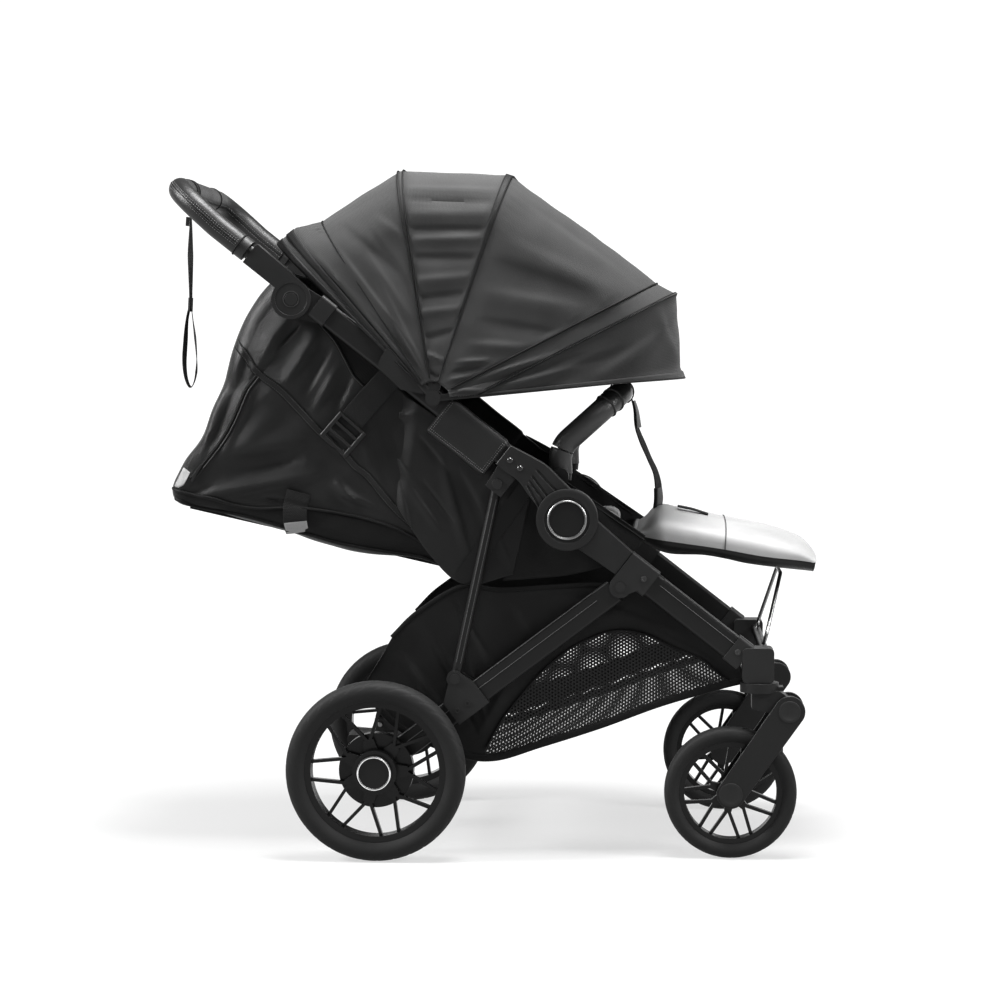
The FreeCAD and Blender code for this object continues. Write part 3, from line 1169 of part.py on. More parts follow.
def fork():
    """The double fork that swings on the crown against its spring, with its pins."""
    length = math.dist(FORK_PIVOT, FRONT_AXLE)
    cheeks = None
    for low in (CASTER_Y - FORK_GAP - FORK_CHEEK, CASTER_Y + FORK_GAP):
        high = low + FORK_CHEEK
        arm = plate(FORK, [
            (0.0, -FORK_HEAD_RADIUS), (length, -FORK_FOOT_RADIUS), (length, FORK_FOOT_RADIUS),
            (0.0, FORK_HEAD_RADIUS),
        ], low, high)
        cheek = arm.fuse(disc(FORK_PIVOT, FORK_HEAD_RADIUS, low, high)).fuse(disc(FRONT_AXLE,
                FORK_FOOT_RADIUS, low, high))
        cheeks = cheek if cheeks is None else cheeks.fuse(cheek)
    low, high = CASTER_Y - FORK_GAP - FORK_CHEEK, CASTER_Y + FORK_GAP + FORK_CHEEK
    start, end = BRIDGE
    half = BRIDGE_DEPTH / 2
    bridge = plate(FORK, [(start, -half), (end, -half), (end, half), (start, half)], low + SEAT_PLAY,
            high - SEAT_PLAY)
    pivot = disc(FORK_PIVOT, FORK_PIN_RADIUS - PIN_PLAY, low, high)
    axle = disc(FRONT_AXLE, FRONT_STUB_RADIUS - PIN_PLAY, low, high)
    return cheeks.fuse(bridge).fuse(pivot).fuse(axle).removeSplitter()


# Bumper bar and crotch strap

BUMPER_RADIUS = 18.0
BUMPER_CORE_RADIUS = 9.0
BUMPER_KNEE_SHARES = [(0.0, 0.0), (-0.02, 0.34), (1.0, 1.0)]
BUMPER_REACH = 92.0
BUMPER_HEIGHT = 128.0
BUMPER_KNEE = 44.0
BUMPER_CORNER = 62.0
BUMPER_STEM = 22.0


def bumper_wire(cut=0):
    x, z = BUMPER_PIVOT
    left = [V(x + a * BUMPER_REACH, BUMPER_Y, z + b * BUMPER_HEIGHT) for a, b in BUMPER_KNEE_SHARES]
    left[0] = left[0] + unit(left[1] - left[0]) * cut
    right = [V(p.x, -p.y, p.z) for p in reversed(left)]
    radii = [0, BUMPER_KNEE, BUMPER_CORNER, BUMPER_CORNER, BUMPER_KNEE, 0]
    return path(left + right, radii)


def bumper_bar():
    """The padded bar across the seat, with a flat lug on each end."""
    body = pipe(bumper_wire(BUMPER_STEM), BUMPER_RADIUS)
    core = pipe(bumper_wire(), BUMPER_CORE_RADIUS)
    low = BUMPER_Y - BUMPER_LUG / 2
    lug = disc(BUMPER_PIVOT, BUMPER_BOSS_RADIUS, low, low + BUMPER_LUG)
    bore = disc(BUMPER_PIVOT, BUMPER_PIN_RADIUS, low - OVERRUN, low + BUMPER_LUG + OVERRUN)
    keep_off = disc(BUMPER_PIVOT, BUMPER_BOSS_RADIUS + SEAT_PLAY, low + BUMPER_LUG, low + 2 * BUMPER_LUG)
    bar = body.fuse(core)
    for side in both(lug):
        bar = bar.fuse(side)
    for tool in both(bore) + both(keep_off):
        bar = bar.cut(tool)
    return [bar.removeSplitter()]


CROTCH_WIDTH = 30.0
CROTCH_THICK = 2.5
CROTCH_BOW = 58.0
CROTCH_LEAN_SHARE = 0.7
CROTCH_SHARES = [(0.0, 0.0), (0.18, 0.12), (0.60, 0.40), (0.93, 0.66), (0.92, 0.76), (0.42, 0.88),
        (0.30, 1.02)]


def crotch_strap():
    """The flat strap from the middle of the bumper bar down to the seat frame's front tube."""
    x, z = BUMPER_PIVOT
    top = (x + BUMPER_REACH, z + BUMPER_HEIGHT)
    start_x = top[0] + (BUMPER_RADIUS + CROTCH_THICK / 2) * CROTCH_LEAN_SHARE
    start_z = top[1] - (BUMPER_RADIUS + CROTCH_THICK / 2) * CROTCH_LEAN_SHARE
    drop = start_z - LEG_REST_Z - RAIL_RADIUS
    points = [(start_x + a * CROTCH_BOW, start_z - d * drop) for a, d in CROTCH_SHARES]
    half = CROTCH_WIDTH / 2
    strap = strip(points, CROTCH_THICK, -half, half)
    upper_loop = ring(top, BUMPER_RADIUS + CROTCH_THICK, BUMPER_RADIUS, -half, half)
    lower_loop = ring(LEG_REST_HINGE, RAIL_RADIUS + SEAT_PLAY + CROTCH_THICK, RAIL_RADIUS + SEAT_PLAY,
            -half, half)
    rail_room = disc(LEG_REST_HINGE, RAIL_RADIUS + SEAT_PLAY, -half - OVERRUN, half + OVERRUN)
    bar_room = disc(top, BUMPER_RADIUS, -half - OVERRUN, half + OVERRUN)
    return [strap.fuse(upper_loop).fuse(lower_loop).cut(rail_room).cut(bar_room).removeSplitter()]


# Hood: four bows about one pivot, with fabric between them

FABRIC_THICK = 2.0
FABRIC_OFF = 5.8
FABRIC_START = 26.0
RIM_ANGLE = 4.5
RIM_RISE = 6.0
RIM_REACH = VISOR_BOW_REACH + RIM_RISE


def hood_bow(name, layer):
    """One bow with the flat links that turn on the hood's pivot pins."""
    angle, reach = BOW_ANGLES[name], BOW_REACH[name]
    bow = bow_rod(angle, reach)
    low, high = bow_layer(layer)
    line = Line(HOOD_PIVOT, angle)
    half = BOW_ROD_RADIUS
    link = plate(line,
            [(0.0, -half), (BOW_ARM_START + 2 * half, -half), (BOW_ARM_START + 2 * half, half),
                    (0.0, half)], low, high)
    eye = disc(HOOD_PIVOT, BOW_EYE_RADIUS, low, high)
    bore = disc(HOOD_PIVOT, PIVOT_PIN_RADIUS, low - OVERRUN, high + OVERRUN)
    for side in both(link.fuse(eye).cut(bore)):
        bow = bow.fuse(side)
    return [bow.removeSplitter()]


def hood_bow_rear():
    """The rear bow, held in the channels of the hood brackets."""
    return [bow_rod(BOW_ANGLES["rear"], BOW_REACH["rear"])]


def hoop(angle, reach, grow):
    """The U-shaped outline of the hood's fabric at one angle: outer skin, then inner skin."""
    line = Line(HOOD_PIVOT, angle)
    edges = []
    side = BOW_Y + FABRIC_OFF + grow
    top = reach + FABRIC_OFF - BOW_ROD_RADIUS + grow
    corners = []
    for inset in (0.0, FABRIC_THICK):
        y, r, c = side - inset, top - inset, BOW_CORNER - inset
        slant = c * (1 - math.sqrt(0.5))
        corners.append([
            line.space(FABRIC_START, 0.0, y), line.space(r - c, 0.0, y),
            line.space(r - slant, 0.0, y - slant),
            line.space(r, 0.0, y - c), line.space(r, 0.0, c - y), line.space(r - slant, 0.0, slant - y),
            line.space(r - c, 0.0, -y), line.space(FABRIC_START, 0.0, -y),
        ])
    for skin, order in ((corners[0], 1), (corners[1], -1)):
        p = skin[::order]
        edges += [
            Part.LineSegment(p[0], p[1]).toShape(), Part.Arc(p[1], p[2], p[3]).toShape(),
            Part.LineSegment(p[3], p[4]).toShape(),
            Part.Arc(p[4], p[5], p[6]).toShape(), Part.LineSegment(p[6], p[7]).toShape(),
        ]
        if order == 1:
            edges.append(Part.LineSegment(corners[0][7], corners[1][7]).toShape())
    edges.append(Part.LineSegment(corners[1][0], corners[0][0]).toShape())
    return Part.Wire(edges)


SEAM_GAP = 0.6
SAG = 7.0


def hood_panel(start, end, first, last):
    """Cloth stretched from one bow to the next, drawn in a little between them."""
    middle = (start + end) / 2
    return [loft([hoop(start, first, 0.0), hoop(middle, (first + last) / 2 - SAG, 0.0),
            hoop(end, last, 0.0)])]


REAR_EDGE_ANGLE = 136.0
REAR_EDGE_RISE = 5.0
REAR_EDGE_REACH = REAR_BOW_REACH + REAR_EDGE_RISE


def visor_panel():
    return hood_panel(BOW_ANGLES["visor"] - SEAM_GAP, RIM_ANGLE, BOW_REACH["visor"] + SAG, RIM_REACH + SAG)


# Seat back: board, pad and the fabric shell that hangs below the upper tubes

BAG_TOP_GAP = 26.0
BAG_LENGTH = UPPER_LENGTH - BAG_TOP_GAP
BOARD_GAP = 32.0
BOARD_LENGTH = BAG_LENGTH - BOARD_GAP
BOARD_THICK = 8.0
BACK_SOCKET_RADIUS = 10.0
BACK_PAD_START = 26.0
BACK_PAD_THICK = 24.0
BACK_PAD_CROWN = 7.0
BACK_PAD_EDGE = 11.0
BACK_PAD_INSET = 6.0
BACK_PAD_HALF_WIDTH = BACK_EDGE_Y - BACK_PAD_INSET
BACK_STATION_SHARES = [(0.0, 0.35, 0.92), (0.05, 0.9, 0.99), (0.5, 1.0, 1.0), (0.95, 0.9, 0.98),
        (1.0, 0.35, 0.9)]


def backrest_board():
    """The stiff board of the seat back, with a socket at each lower corner for its pivot pins."""
    board = plate(BACK, [
        (0.0, 0.0), (BOARD_LENGTH, 0.0), (BOARD_LENGTH, BOARD_THICK), (0.0, BOARD_THICK),
    ], -BACK_EDGE_Y, BACK_EDGE_Y)
    for side in (-1, 1):
        low = BACK_EDGE_Y * side - (BACK_SOCKET_DEPTH if side > 0 else 0.0)
        board = board.fuse(disc(BACK_HINGE, BACK_SOCKET_RADIUS, low, low + BACK_SOCKET_DEPTH))
        board = board.cut(disc(BACK_HINGE, BACK_PIN_RADIUS, low - OVERRUN, low + BACK_SOCKET_DEPTH + OVERRUN))
    return [board.removeSplitter()]


def backrest_pad():
    span = BOARD_LENGTH - BACK_PAD_START
    stations = [
        (BACK_PAD_START + along * span, BOARD_THICK, BOARD_THICK + thick * BACK_PAD_THICK,
                wide * BACK_PAD_HALF_WIDTH)
        for along, thick, wide in BACK_STATION_SHARES
    ]
    return [cushion(BACK, stations, BACK_PAD_CROWN, BACK_PAD_EDGE)]


BAG_DEPTH = 376.0
BAG_INSET = 12.0
BAG_HALF_WIDTH = TUBE_IN - BAG_INSET
BAG_EDGE = 16.0
BAG_WALL = 2.0
BAG_SHARES = [
    (0.03, -0.02), (0.32, -0.04), (0.75, -0.025), (0.99, 0.005), (1.004, 0.045), (0.99, 0.175), (0.93, 0.34),
    (0.91, 0.605), (0.895, 0.78), (0.87, 0.895), (0.83, 0.99), (0.62, 0.93), (0.36, 0.74), (0.17, 0.62),
    (0.08, 0.30),
]
BAG_OPEN = range(10, 14)
BAG_SLANT_SHARE = 0.1


def bag_section(y, shrink, grow):
    """The bag's side outline at one Y, drawn in by a length and grown along its open top."""
    points = [(a * BAG_LENGTH, o * BAG_DEPTH) for a, o in BAG_SHARES]
    mid_a = sum(a for a, o in points) / len(points)
    mid_o = sum(o for a, o in points) / len(points)
    placed = []
    for n, (a, o) in enumerate(points):
        keep = 1 - shrink / math.dist((a, o), (mid_a, mid_o))
        lift = grow if n in BAG_OPEN else 0.0
        placed.append(BACK.space(mid_a + (a - mid_a) * keep + lift * BAG_SLANT_SHARE,
                mid_o + (o - mid_o) * keep + lift, y))
    return path(placed, 0, closed=True)


def seat_back_shell():
    """The fabric shell round the reclined seat back, open towards the hood."""
    edge = BAG_HALF_WIDTH - BAG_EDGE
    outer = loft([
        bag_section(-BAG_HALF_WIDTH, BAG_EDGE, 0.0), bag_section(-edge, 0.0, 0.0),
        bag_section(edge, 0.0, 0.0),
        bag_section(BAG_HALF_WIDTH, BAG_EDGE, 0.0),
    ])
    inner_edge = edge - BAG_WALL
    inner = loft([
        bag_section(-BAG_HALF_WIDTH + BAG_WALL, BAG_EDGE + 2 * BAG_WALL, BAG_DEPTH),
        bag_section(-inner_edge, 2 * BAG_WALL, BAG_DEPTH),
        bag_section(inner_edge, 2 * BAG_WALL, BAG_DEPTH),
        bag_section(BAG_HALF_WIDTH - BAG_WALL, BAG_EDGE + 2 * BAG_WALL, BAG_DEPTH),
    ])
    board_room = plate(BACK, [
        (-BAG_LENGTH, -SEAT_PLAY), (BOARD_LENGTH + SEAT_PLAY, -SEAT_PLAY),
        (BOARD_LENGTH + SEAT_PLAY, BAG_DEPTH / 4), (-BAG_LENGTH, BAG_DEPTH / 4),
    ], -BACK_EDGE_Y - SEAT_PLAY, BACK_EDGE_Y + SEAT_PLAY)
    socket_room = disc(BACK_HINGE, BRACKET_WEB, -BAG_HALF_WIDTH - OVERRUN, BAG_HALF_WIDTH + OVERRUN)
    shell = outer.cut(inner).cut(board_room).cut(socket_room)
    return [max(shell.Solids, key=lambda solid: solid.Volume)]


# Leg rest

LEG_PAD_INSET = 42.5
LEG_PAD_HALF_WIDTH = RAIL_Y - LEG_PAD_INSET
LEG_PAD_CROWN = 5.0
LEG_PAD_EDGE = 14.0
LEG_PAD_LENGTH = 295.5
LEG_PAD_THICK = 48.0
LEG_PAD_SHARES = [
    (0.055, 0.02, 0.60, 0.93), (0.12, -0.06, 0.67, 0.98), (0.35, -0.33, 0.65, 1.0), (0.57, -0.48, 0.60, 1.0),
    (0.79, -0.66, 0.36, 0.99), (0.95, -0.60, -0.03, 0.95), (0.998, -0.50, -0.26, 0.85),
]
LEG_LUG_WIDTH = 20.0
LEG_LUG_INSET = 60.0
LEG_LUG_Y = LEG_PAD_HALF_WIDTH - LEG_LUG_INSET
LEG_LUG_RADIUS = 12.0
PROP_TOP_ALONG = 236.0
PROP_TOP_OFF = -44.0
PROP_RADIUS = 3.0
PROP_TOP_HALF = 60.0
PROP_FOOT_INSET = 65.0
PROP_FOOT_HALF = CASTER_Y - PROP_FOOT_INSET
PROP_FOOT_LENGTH = 24.0
PROP_BLOCK = 11.0


def leg_rest_pad():
    """The padded leg rest, with lugs round the seat frame's front tube and clips for the prop."""
    stations = [
        (a * LEG_PAD_LENGTH, low * LEG_PAD_THICK, high * LEG_PAD_THICK, wide * LEG_PAD_HALF_WIDTH)
        for a, low, high, wide in LEG_PAD_SHARES
    ]
    body = cushion(LEG_REST, stations, LEG_PAD_CROWN, LEG_PAD_EDGE)
    start = LEG_PAD_SHARES[0][0] * LEG_PAD_LENGTH + OVERRUN
    for middle in (-LEG_LUG_Y, LEG_LUG_Y):
        low, high = middle - LEG_LUG_WIDTH / 2, middle + LEG_LUG_WIDTH / 2
        lug = disc(LEG_REST_HINGE, LEG_LUG_RADIUS, low, high)
        arm = plate(LEG_REST,
                [(0.0, 0.0), (2 * start, 0.0), (2 * start, LEG_LUG_RADIUS), (0.0, LEG_LUG_RADIUS)], low, high)
        body = body.fuse(lug).fuse(arm)
        body = body.cut(disc(LEG_REST_HINGE, RAIL_RADIUS + PIN_PLAY, low - OVERRUN, high + OVERRUN))
    top = PROP_TOP_OFF
    for middle in (-PROP_TOP_HALF / 2, PROP_TOP_HALF / 2):
        low, high = middle - PROP_BLOCK / 2, middle + PROP_BLOCK / 2
        clip = plate(LEG_REST, [
            (PROP_TOP_ALONG - PROP_BLOCK / 2, top - PROP_BLOCK / 2),
            (PROP_TOP_ALONG + PROP_BLOCK / 2, top - PROP_BLOCK / 2),
            (PROP_TOP_ALONG + PROP_BLOCK, top + PROP_BLOCK * 2),
            (PROP_TOP_ALONG - PROP_BLOCK, top + PROP_BLOCK * 2),
        ], low, high)
        body = body.fuse(clip)
        body = body.cut(disc(LEG_REST.at(PROP_TOP_ALONG, top), PROP_RADIUS + PIN_PLAY, low - OVERRUN,
                high + OVERRUN))
    return [body.removeSplitter()]


def leg_rest_prop():
    """The wire prop between the leg rest and the front cross tube."""
    top = LEG_REST.at(PROP_TOP_ALONG, PROP_TOP_OFF)
    foot = (CROSS_TUBE_X, HOUSING_BLOCK_Z[1] - CROSS_TUBE_RISE + CROSS_TUBE_RADIUS + PROP_RADIUS + SEAT_PLAY)
    bend = 4 * PROP_RADIUS
    left = [
        V(top[0], 0, top[1]), V(top[0], PROP_TOP_HALF, top[1]), V(foot[0], PROP_FOOT_HALF, foot[1]),
        V(foot[0], PROP_FOOT_HALF - PROP_FOOT_LENGTH, foot[1]),
    ]
    half = pipe(path(left, [0, bend, bend, 0]), PROP_RADIUS)
    return [half.fuse(mirrored(half)).removeSplitter()]


def fixings():
    """All the button-head screws that show on the frame, by the body that carries them."""
    root = [screw(*place) for place in frame_screw_places()]
    rear = [screw(*place) for place in rear_bracket_screw_places()]
    upper = [screw(UPPER.at(along, UPPER_OFF), SWOOP_FACE, SCREW_DEPTH) for along in SWOOP_SCREW_ALONG]
    return root, rear, upper


def with_seats(solids, screws):
    """Solids with a hole for each screw's shank and the screws beside them."""
    cut = []
    for solid in solids:
        for tool in screws:
            for side in both(tool):
                solid = solid.cut(side)
        cut.append(solid)
    return cut


def main():
    os.makedirs("parts", exist_ok=True)
    root_screws, rear_screws, upper_screws = fixings()
    save("hub_housings", hub_housings())
    save("leg_junctions", with_seats(leg_junctions(), root_screws))
    save("front_leg_tubes", with_seats(front_leg_tubes(), root_screws))
    save("caster_housings", with_seats(caster_housings(), root_screws))
    save("frame_screws", [side for tool in root_screws for side in both(tool)])
    save("front_cross_tube", front_cross_tube())
    save("seat_frame", seat_frame())
    save("seat_pad", seat_pad())
    save("storage_basket", storage_basket())
    save("upper_tubes", with_seats(upper_tubes(), upper_screws))
    save("hub_covers",
            with_seats(hub_covers(), upper_screws) + [side for tool in upper_screws for side in both(tool)])
    save("strut_clevises", strut_clevises())
    save("side_wraps", side_wraps())
    save("hood_brackets", hood_brackets())
    save("handle_hinge_lowers", handle_hinge_lowers())
    save("seat_side_brackets", seat_side_brackets())
    save("seat_side_panels", seat_side_panels())
    save("recline_straps", recline_straps())
    save("hood_bow_rear", hood_bow_rear())
    save("hood_panel_rear",
            hood_panel(REAR_EDGE_ANGLE, BOW_ANGLES["middle"] + SEAM_GAP, REAR_EDGE_REACH,
                    BOW_REACH["middle"]))
    save("handle_tube", handle_tube())
    save("handle_grip", handle_grip())
    save("handle_hinge_uppers", handle_hinge_uppers())
    save("wrist_strap", wrist_strap())
    button = handle_button()
    save("handle_button_left", [button])
    save("handle_button_right", [mirrored(button)])
    save("rear_leg_tubes", with_seats(rear_leg_tubes(), rear_screws))
    save("rear_brackets",
            with_seats(rear_brackets(), rear_screws) + [side for tool in rear_screws for side in both(tool)])
    save("rear_struts", rear_struts())
    save("rear_axle", rear_axle() + brake_housings())
    save("brake_pedal", brake_pedal())
    pin = brake_pin()
    save("brake_pin_left", [pin])
    save("brake_pin_right", [mirrored(pin)])
    wheel_rear = rear_rim()
    tyre_rear = tyre(REAR_AXLE, REAR_Y, REAR_WHEEL_RADIUS, REAR_TYRE_WIDTH, REAR_TYRE_DEPTH)
    wheel_front = front_rim()
    tyre_front = tyre(FRONT_AXLE, CASTER_Y, FRONT_WHEEL_RADIUS, FRONT_TYRE_WIDTH, FRONT_TYRE_DEPTH)
    pieces = {
        "rear_rim": wheel_rear, "rear_tyre": tyre_rear, "rear_cap": rear_cap(), "front_rim": wheel_front,
        "front_tyre": tyre_front, "caster_crown": caster_crown(), "caster_fork": fork(),
    }
    for name, shape in pieces.items():
        for side, sign in SIDES.items():
            save(f"{name}_{side}", [shape if sign > 0 else mirrored(shape)])
    save("bumper_bar", bumper_bar())
    save("crotch_strap", crotch_strap())
    save("hood_bow_middle", hood_bow("middle", 0))
    save("hood_bow_front", hood_bow("front", 1))
    save("hood_visor_frame", hood_bow("visor", 2))
    save("hood_panel_middle",
            hood_panel(BOW_ANGLES["middle"] - SEAM_GAP, BOW_ANGLES["front"] + SEAM_GAP,
                    BOW_REACH["middle"], BOW_REACH["front"]))
    save("hood_panel_front",
            hood_panel(BOW_ANGLES["front"] - SEAM_GAP, BOW_ANGLES["visor"] + SEAM_GAP, BOW_REACH["front"],
                    BOW_REACH["visor"]))
    save("hood_visor", visor_panel())
    save("backrest_board", backrest_board())
    save("backrest_pad", backrest_pad())
    save("seat_back_shell", seat_back_shell())
    save("leg_rest_pad", leg_rest_pad())
    save("leg_rest_prop", leg_rest_prop())


main()
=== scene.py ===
"""Looks of the folding pushchair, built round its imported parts.

Shapes are worked out in millimetres in the frame of the parts and become metres when a mesh is made.
The right side, at negative Y, is the side that the camera sees.
"""

import math

import bmesh
import bpy
import numpy as np
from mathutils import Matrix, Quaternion, Vector


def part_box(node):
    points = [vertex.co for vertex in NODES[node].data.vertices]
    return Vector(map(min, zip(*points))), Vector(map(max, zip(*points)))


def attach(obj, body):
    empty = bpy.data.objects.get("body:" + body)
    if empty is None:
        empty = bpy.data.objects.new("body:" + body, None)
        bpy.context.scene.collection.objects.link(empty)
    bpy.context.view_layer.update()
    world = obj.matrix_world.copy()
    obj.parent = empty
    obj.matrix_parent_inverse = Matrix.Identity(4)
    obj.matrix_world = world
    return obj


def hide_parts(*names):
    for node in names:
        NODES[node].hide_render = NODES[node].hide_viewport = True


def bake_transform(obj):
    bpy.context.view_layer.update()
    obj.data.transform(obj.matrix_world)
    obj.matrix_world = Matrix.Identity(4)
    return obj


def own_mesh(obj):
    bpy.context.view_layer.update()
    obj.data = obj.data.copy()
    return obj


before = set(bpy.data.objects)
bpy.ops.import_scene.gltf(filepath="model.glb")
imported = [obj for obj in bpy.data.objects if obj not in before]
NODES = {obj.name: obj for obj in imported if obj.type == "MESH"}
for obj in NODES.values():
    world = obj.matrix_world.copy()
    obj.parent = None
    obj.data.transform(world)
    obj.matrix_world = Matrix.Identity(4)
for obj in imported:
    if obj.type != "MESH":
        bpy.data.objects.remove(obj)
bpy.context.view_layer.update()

MM = 0.001
AHEAD = np.array([1.0, 0.0, 0.0])
ACROSS = np.array([0.0, 1.0, 0.0])
UP = np.array([0.0, 0.0, 1.0])
SIDES = {"right": -1, "left": 1}


# Camera, light and floor

def set_camera():
    """The photograph's viewpoint: level, nearly square on, a little ahead of the middle."""
    camera = bpy.data.objects.new("camera", bpy.data.cameras.new("camera"))
    bpy.context.scene.collection.objects.link(camera)
    camera.data.lens = 92.34
    camera.data.sensor_width = 36.0
    camera.location = (0.252, -4.195, 0.7874)
    camera.rotation_mode = "QUATERNION"
    camera.rotation_quaternion = Vector((-0.06050548, 0.99650432, -0.057604)).to_track_quat("-Z", "Y")
    bpy.context.scene.camera = camera


def set_light():
    """A white room with a broad lamp overhead, one behind to the left and one at the front."""
    world = bpy.data.worlds.new("studio")
    world.use_nodes = True
    world.node_tree.nodes["Background"].inputs["Color"].default_value = (1.0, 1.0, 1.0, 1.0)
    world.node_tree.nodes["Background"].inputs["Strength"].default_value = 0.16
    bpy.context.scene.world = world
    bpy.context.scene.view_settings.view_transform = "Standard"
    bpy.context.scene.view_settings.gamma = 0.85
    lamps = [
        ("overhead", (0.3, -0.3, 3.0), (0.0, 0.0, 0.6), 1.2, 205.0),
        ("left", (-2.5, -0.75, 1.9), (-0.2, 0.0, 0.6), 0.9, 140.0),
        ("right", (2.6, -1.0, 1.9), (0.1, 0.0, 0.6), 0.9, 80.0),
        ("front", (1.2, -3.2, 2.9), (0.1, 0.0, 0.5), 0.8, 30.0),
    ]
    for name, place, target, size, power in lamps:
        data = bpy.data.lights.new(name, "AREA")
        data.shape = "DISK"
        data.size = size
        data.energy = power
        lamp = bpy.data.objects.new(name, data)
        bpy.context.scene.collection.objects.link(lamp)
        lamp.location = place
        aim = Vector(target) - Vector(place)
        lamp.rotation_mode = "QUATERNION"
        lamp.rotation_quaternion = aim.to_track_quat("-Z", "Y")


# Shader arithmetic

class Value:
    """A shader socket that arithmetic in Python can be done on: each operation adds its Math node."""

    def __init__(self, finish, socket):
        self.finish = finish
        self.socket = socket

    def math(self, operation, *others, settings=None):
        sockets = dict(enumerate((self, *others)))
        return self.finish.node("ShaderNodeMath", {"operation": operation, **(settings or {})}, sockets)

    def __add__(self, other):
        return self.math("ADD", other)

    __radd__ = __add__

    def __sub__(self, other):
        return self.math("SUBTRACT", other)

    def __rsub__(self, other):
        return self.math("MULTIPLY_ADD", -1.0, other)

    def __mul__(self, other):
        return self.math("MULTIPLY", other)

    __rmul__ = __mul__

    def __truediv__(self, other):
        return self.math("DIVIDE", other)

    def wave(self, pitch):
        """A sine of this value, one turn every pitch, from 0 to 1."""
        return (self * (2 * math.pi / pitch)).math("SINE") * 0.5 + 0.5

    def clip(self):
        return self.math("ADD", 0.0, settings={"use_clamp": True})

    def over(self, edge, soft):
        """0 below an edge and 1 above it, turning over a soft width."""
        return ((self - edge) / soft + 0.5).clip()


class Finish:
    """A material with its nodes: a main shader and whatever is linked to it."""

    def __init__(self, name, **constants):
        self.material = bpy.data.materials.new(name)
        self.material.use_nodes = True
        self.tree = self.material.node_tree
        self.shader = self.tree.nodes["Principled BSDF"]
        for key, value in constants.items():
            self.shader.inputs[key.replace("_", " ")].default_value = value

    def node(self, kind, settings=None, inputs=None, output=0):
        """Adds a node of a kind with its settings, then its inputs' values or links, and gives one output."""
        made = self.tree.nodes.new(kind)
        for key, value in (settings or {}).items():
            if key == "stops":
                ramp = made.color_ramp.elements
                while len(ramp) < len(value):
                    ramp.new(0.5)
                for stop, (place, shade) in zip(ramp, value):
                    stop.position = place
                    stop.color = shade
            else:
                setattr(made, key, value)
        for key, value in (inputs or {}).items():
            if isinstance(value, Value):
                self.tree.links.new(value.socket, made.inputs[key])
            else:
                made.inputs[key].default_value = value
        return Value(self, made.outputs[output])

    def feed(self, socket, value):
        self.tree.links.new(value.socket, self.shader.inputs[socket])

    def places(self):
        """Object coordinates."""
        return self.node("ShaderNodeTexCoord", output="Object")

    def weave_axes(self):
        """The two distances along a piece's own surface, in metres, from its UV map."""
        uv = self.node("ShaderNodeUVMap", {"uv_map": "UVMap"})
        split = {"Vector": uv}
        return (self.node("ShaderNodeSeparateXYZ", None, split, "X"),
                self.node("ShaderNodeSeparateXYZ", None, split, "Y"))

    def noise(self, scale, detail=2.0, rough=0.5, vector=None):
        return self.node("ShaderNodeTexNoise", None, {
            "Vector": vector or self.places(), "Scale": scale, "Detail": detail, "Roughness": rough})

    def blend(self, factor, low, high):
        """A colour between two colours."""
        return self.node("ShaderNodeMix", {"data_type": "RGBA"}, {0: factor, 6: low, 7: high}, 2)

    def bump(self, height, strength, distance):
        inputs = {"Height": height, "Strength": strength, "Distance": distance}
        return self.node("ShaderNodeBump", None, inputs)

    def shade(self, pattern, level, low, high):
        """Lets a pattern move the main colour between two shares of one grey level."""
        self.feed("Base Color", self.blend(pattern.clip(), grey(level * low), grey(level * high)))


def grey(level):
    """A neutral colour of one linear level."""
    return (level, level, level, 1.0)


# Materials

def cloth(name, level, rough, pitch, depth, sheen=0.0, mottle=0.25):
    """Woven cloth: two crossing sets of threads in the bump, and slow changes of shade."""
    made = Finish(name, Sheen_Weight=sheen, Sheen_Roughness=0.5, Specular_IOR_Level=0.22)
    along, over = made.weave_axes()
    slow = made.noise(9.0, 3.0, 0.6)
    fine = made.noise(900.0, 2.0, 0.6)
    threads = along.wave(pitch) * over.wave(pitch)
    made.shade(slow * mottle + fine * 0.3 + threads * 0.25, level, 0.55, 1.5)
    made.feed("Roughness", (slow * 0.16 + (rough - 0.08)).clip())
    made.feed("Normal", made.bump(threads + fine * 0.7, 0.55, depth))
    return made.material


def net(name, level, pitch):
    """Knitted net: three sets of waves, turned by 60 degrees, peak together at its round holes."""
    made = Finish(name, Roughness=0.6, Specular_IOR_Level=0.25, Base_Color=grey(level))
    along, over = made.weave_axes()
    row = math.sqrt(3) / 2 * pitch
    waves = [(along * math.cos(turn) + over * math.sin(turn) + row / 4).wave(row)
             for turn in (0.0, math.pi / 3, 2 * math.pi / 3)]
    peak = waves[0] + waves[1] + waves[2]
    made.feed("Alpha", 1 - peak.over(1.96, 0.3))
    made.feed("Normal", made.bump(2.2 - peak, 0.6, 0.0006))
    return made.material


def webbing(name, level, pitch):
    """Flat woven strap: ribs across it and a darker line near each edge."""
    made = Finish(name, Specular_IOR_Level=0.3)
    along, over = made.weave_axes()
    ribs = along.wave(pitch)
    twill = (along + over).wave(pitch * 1.7)
    made.shade(ribs * 0.5 + twill * 0.3, level, 0.5, 1.6)
    made.feed("Roughness", made.noise(300.0) * 0.2 + 0.55)
    made.feed("Normal", made.bump(ribs + twill * 0.5, 0.7, 0.0004))
    return made.material


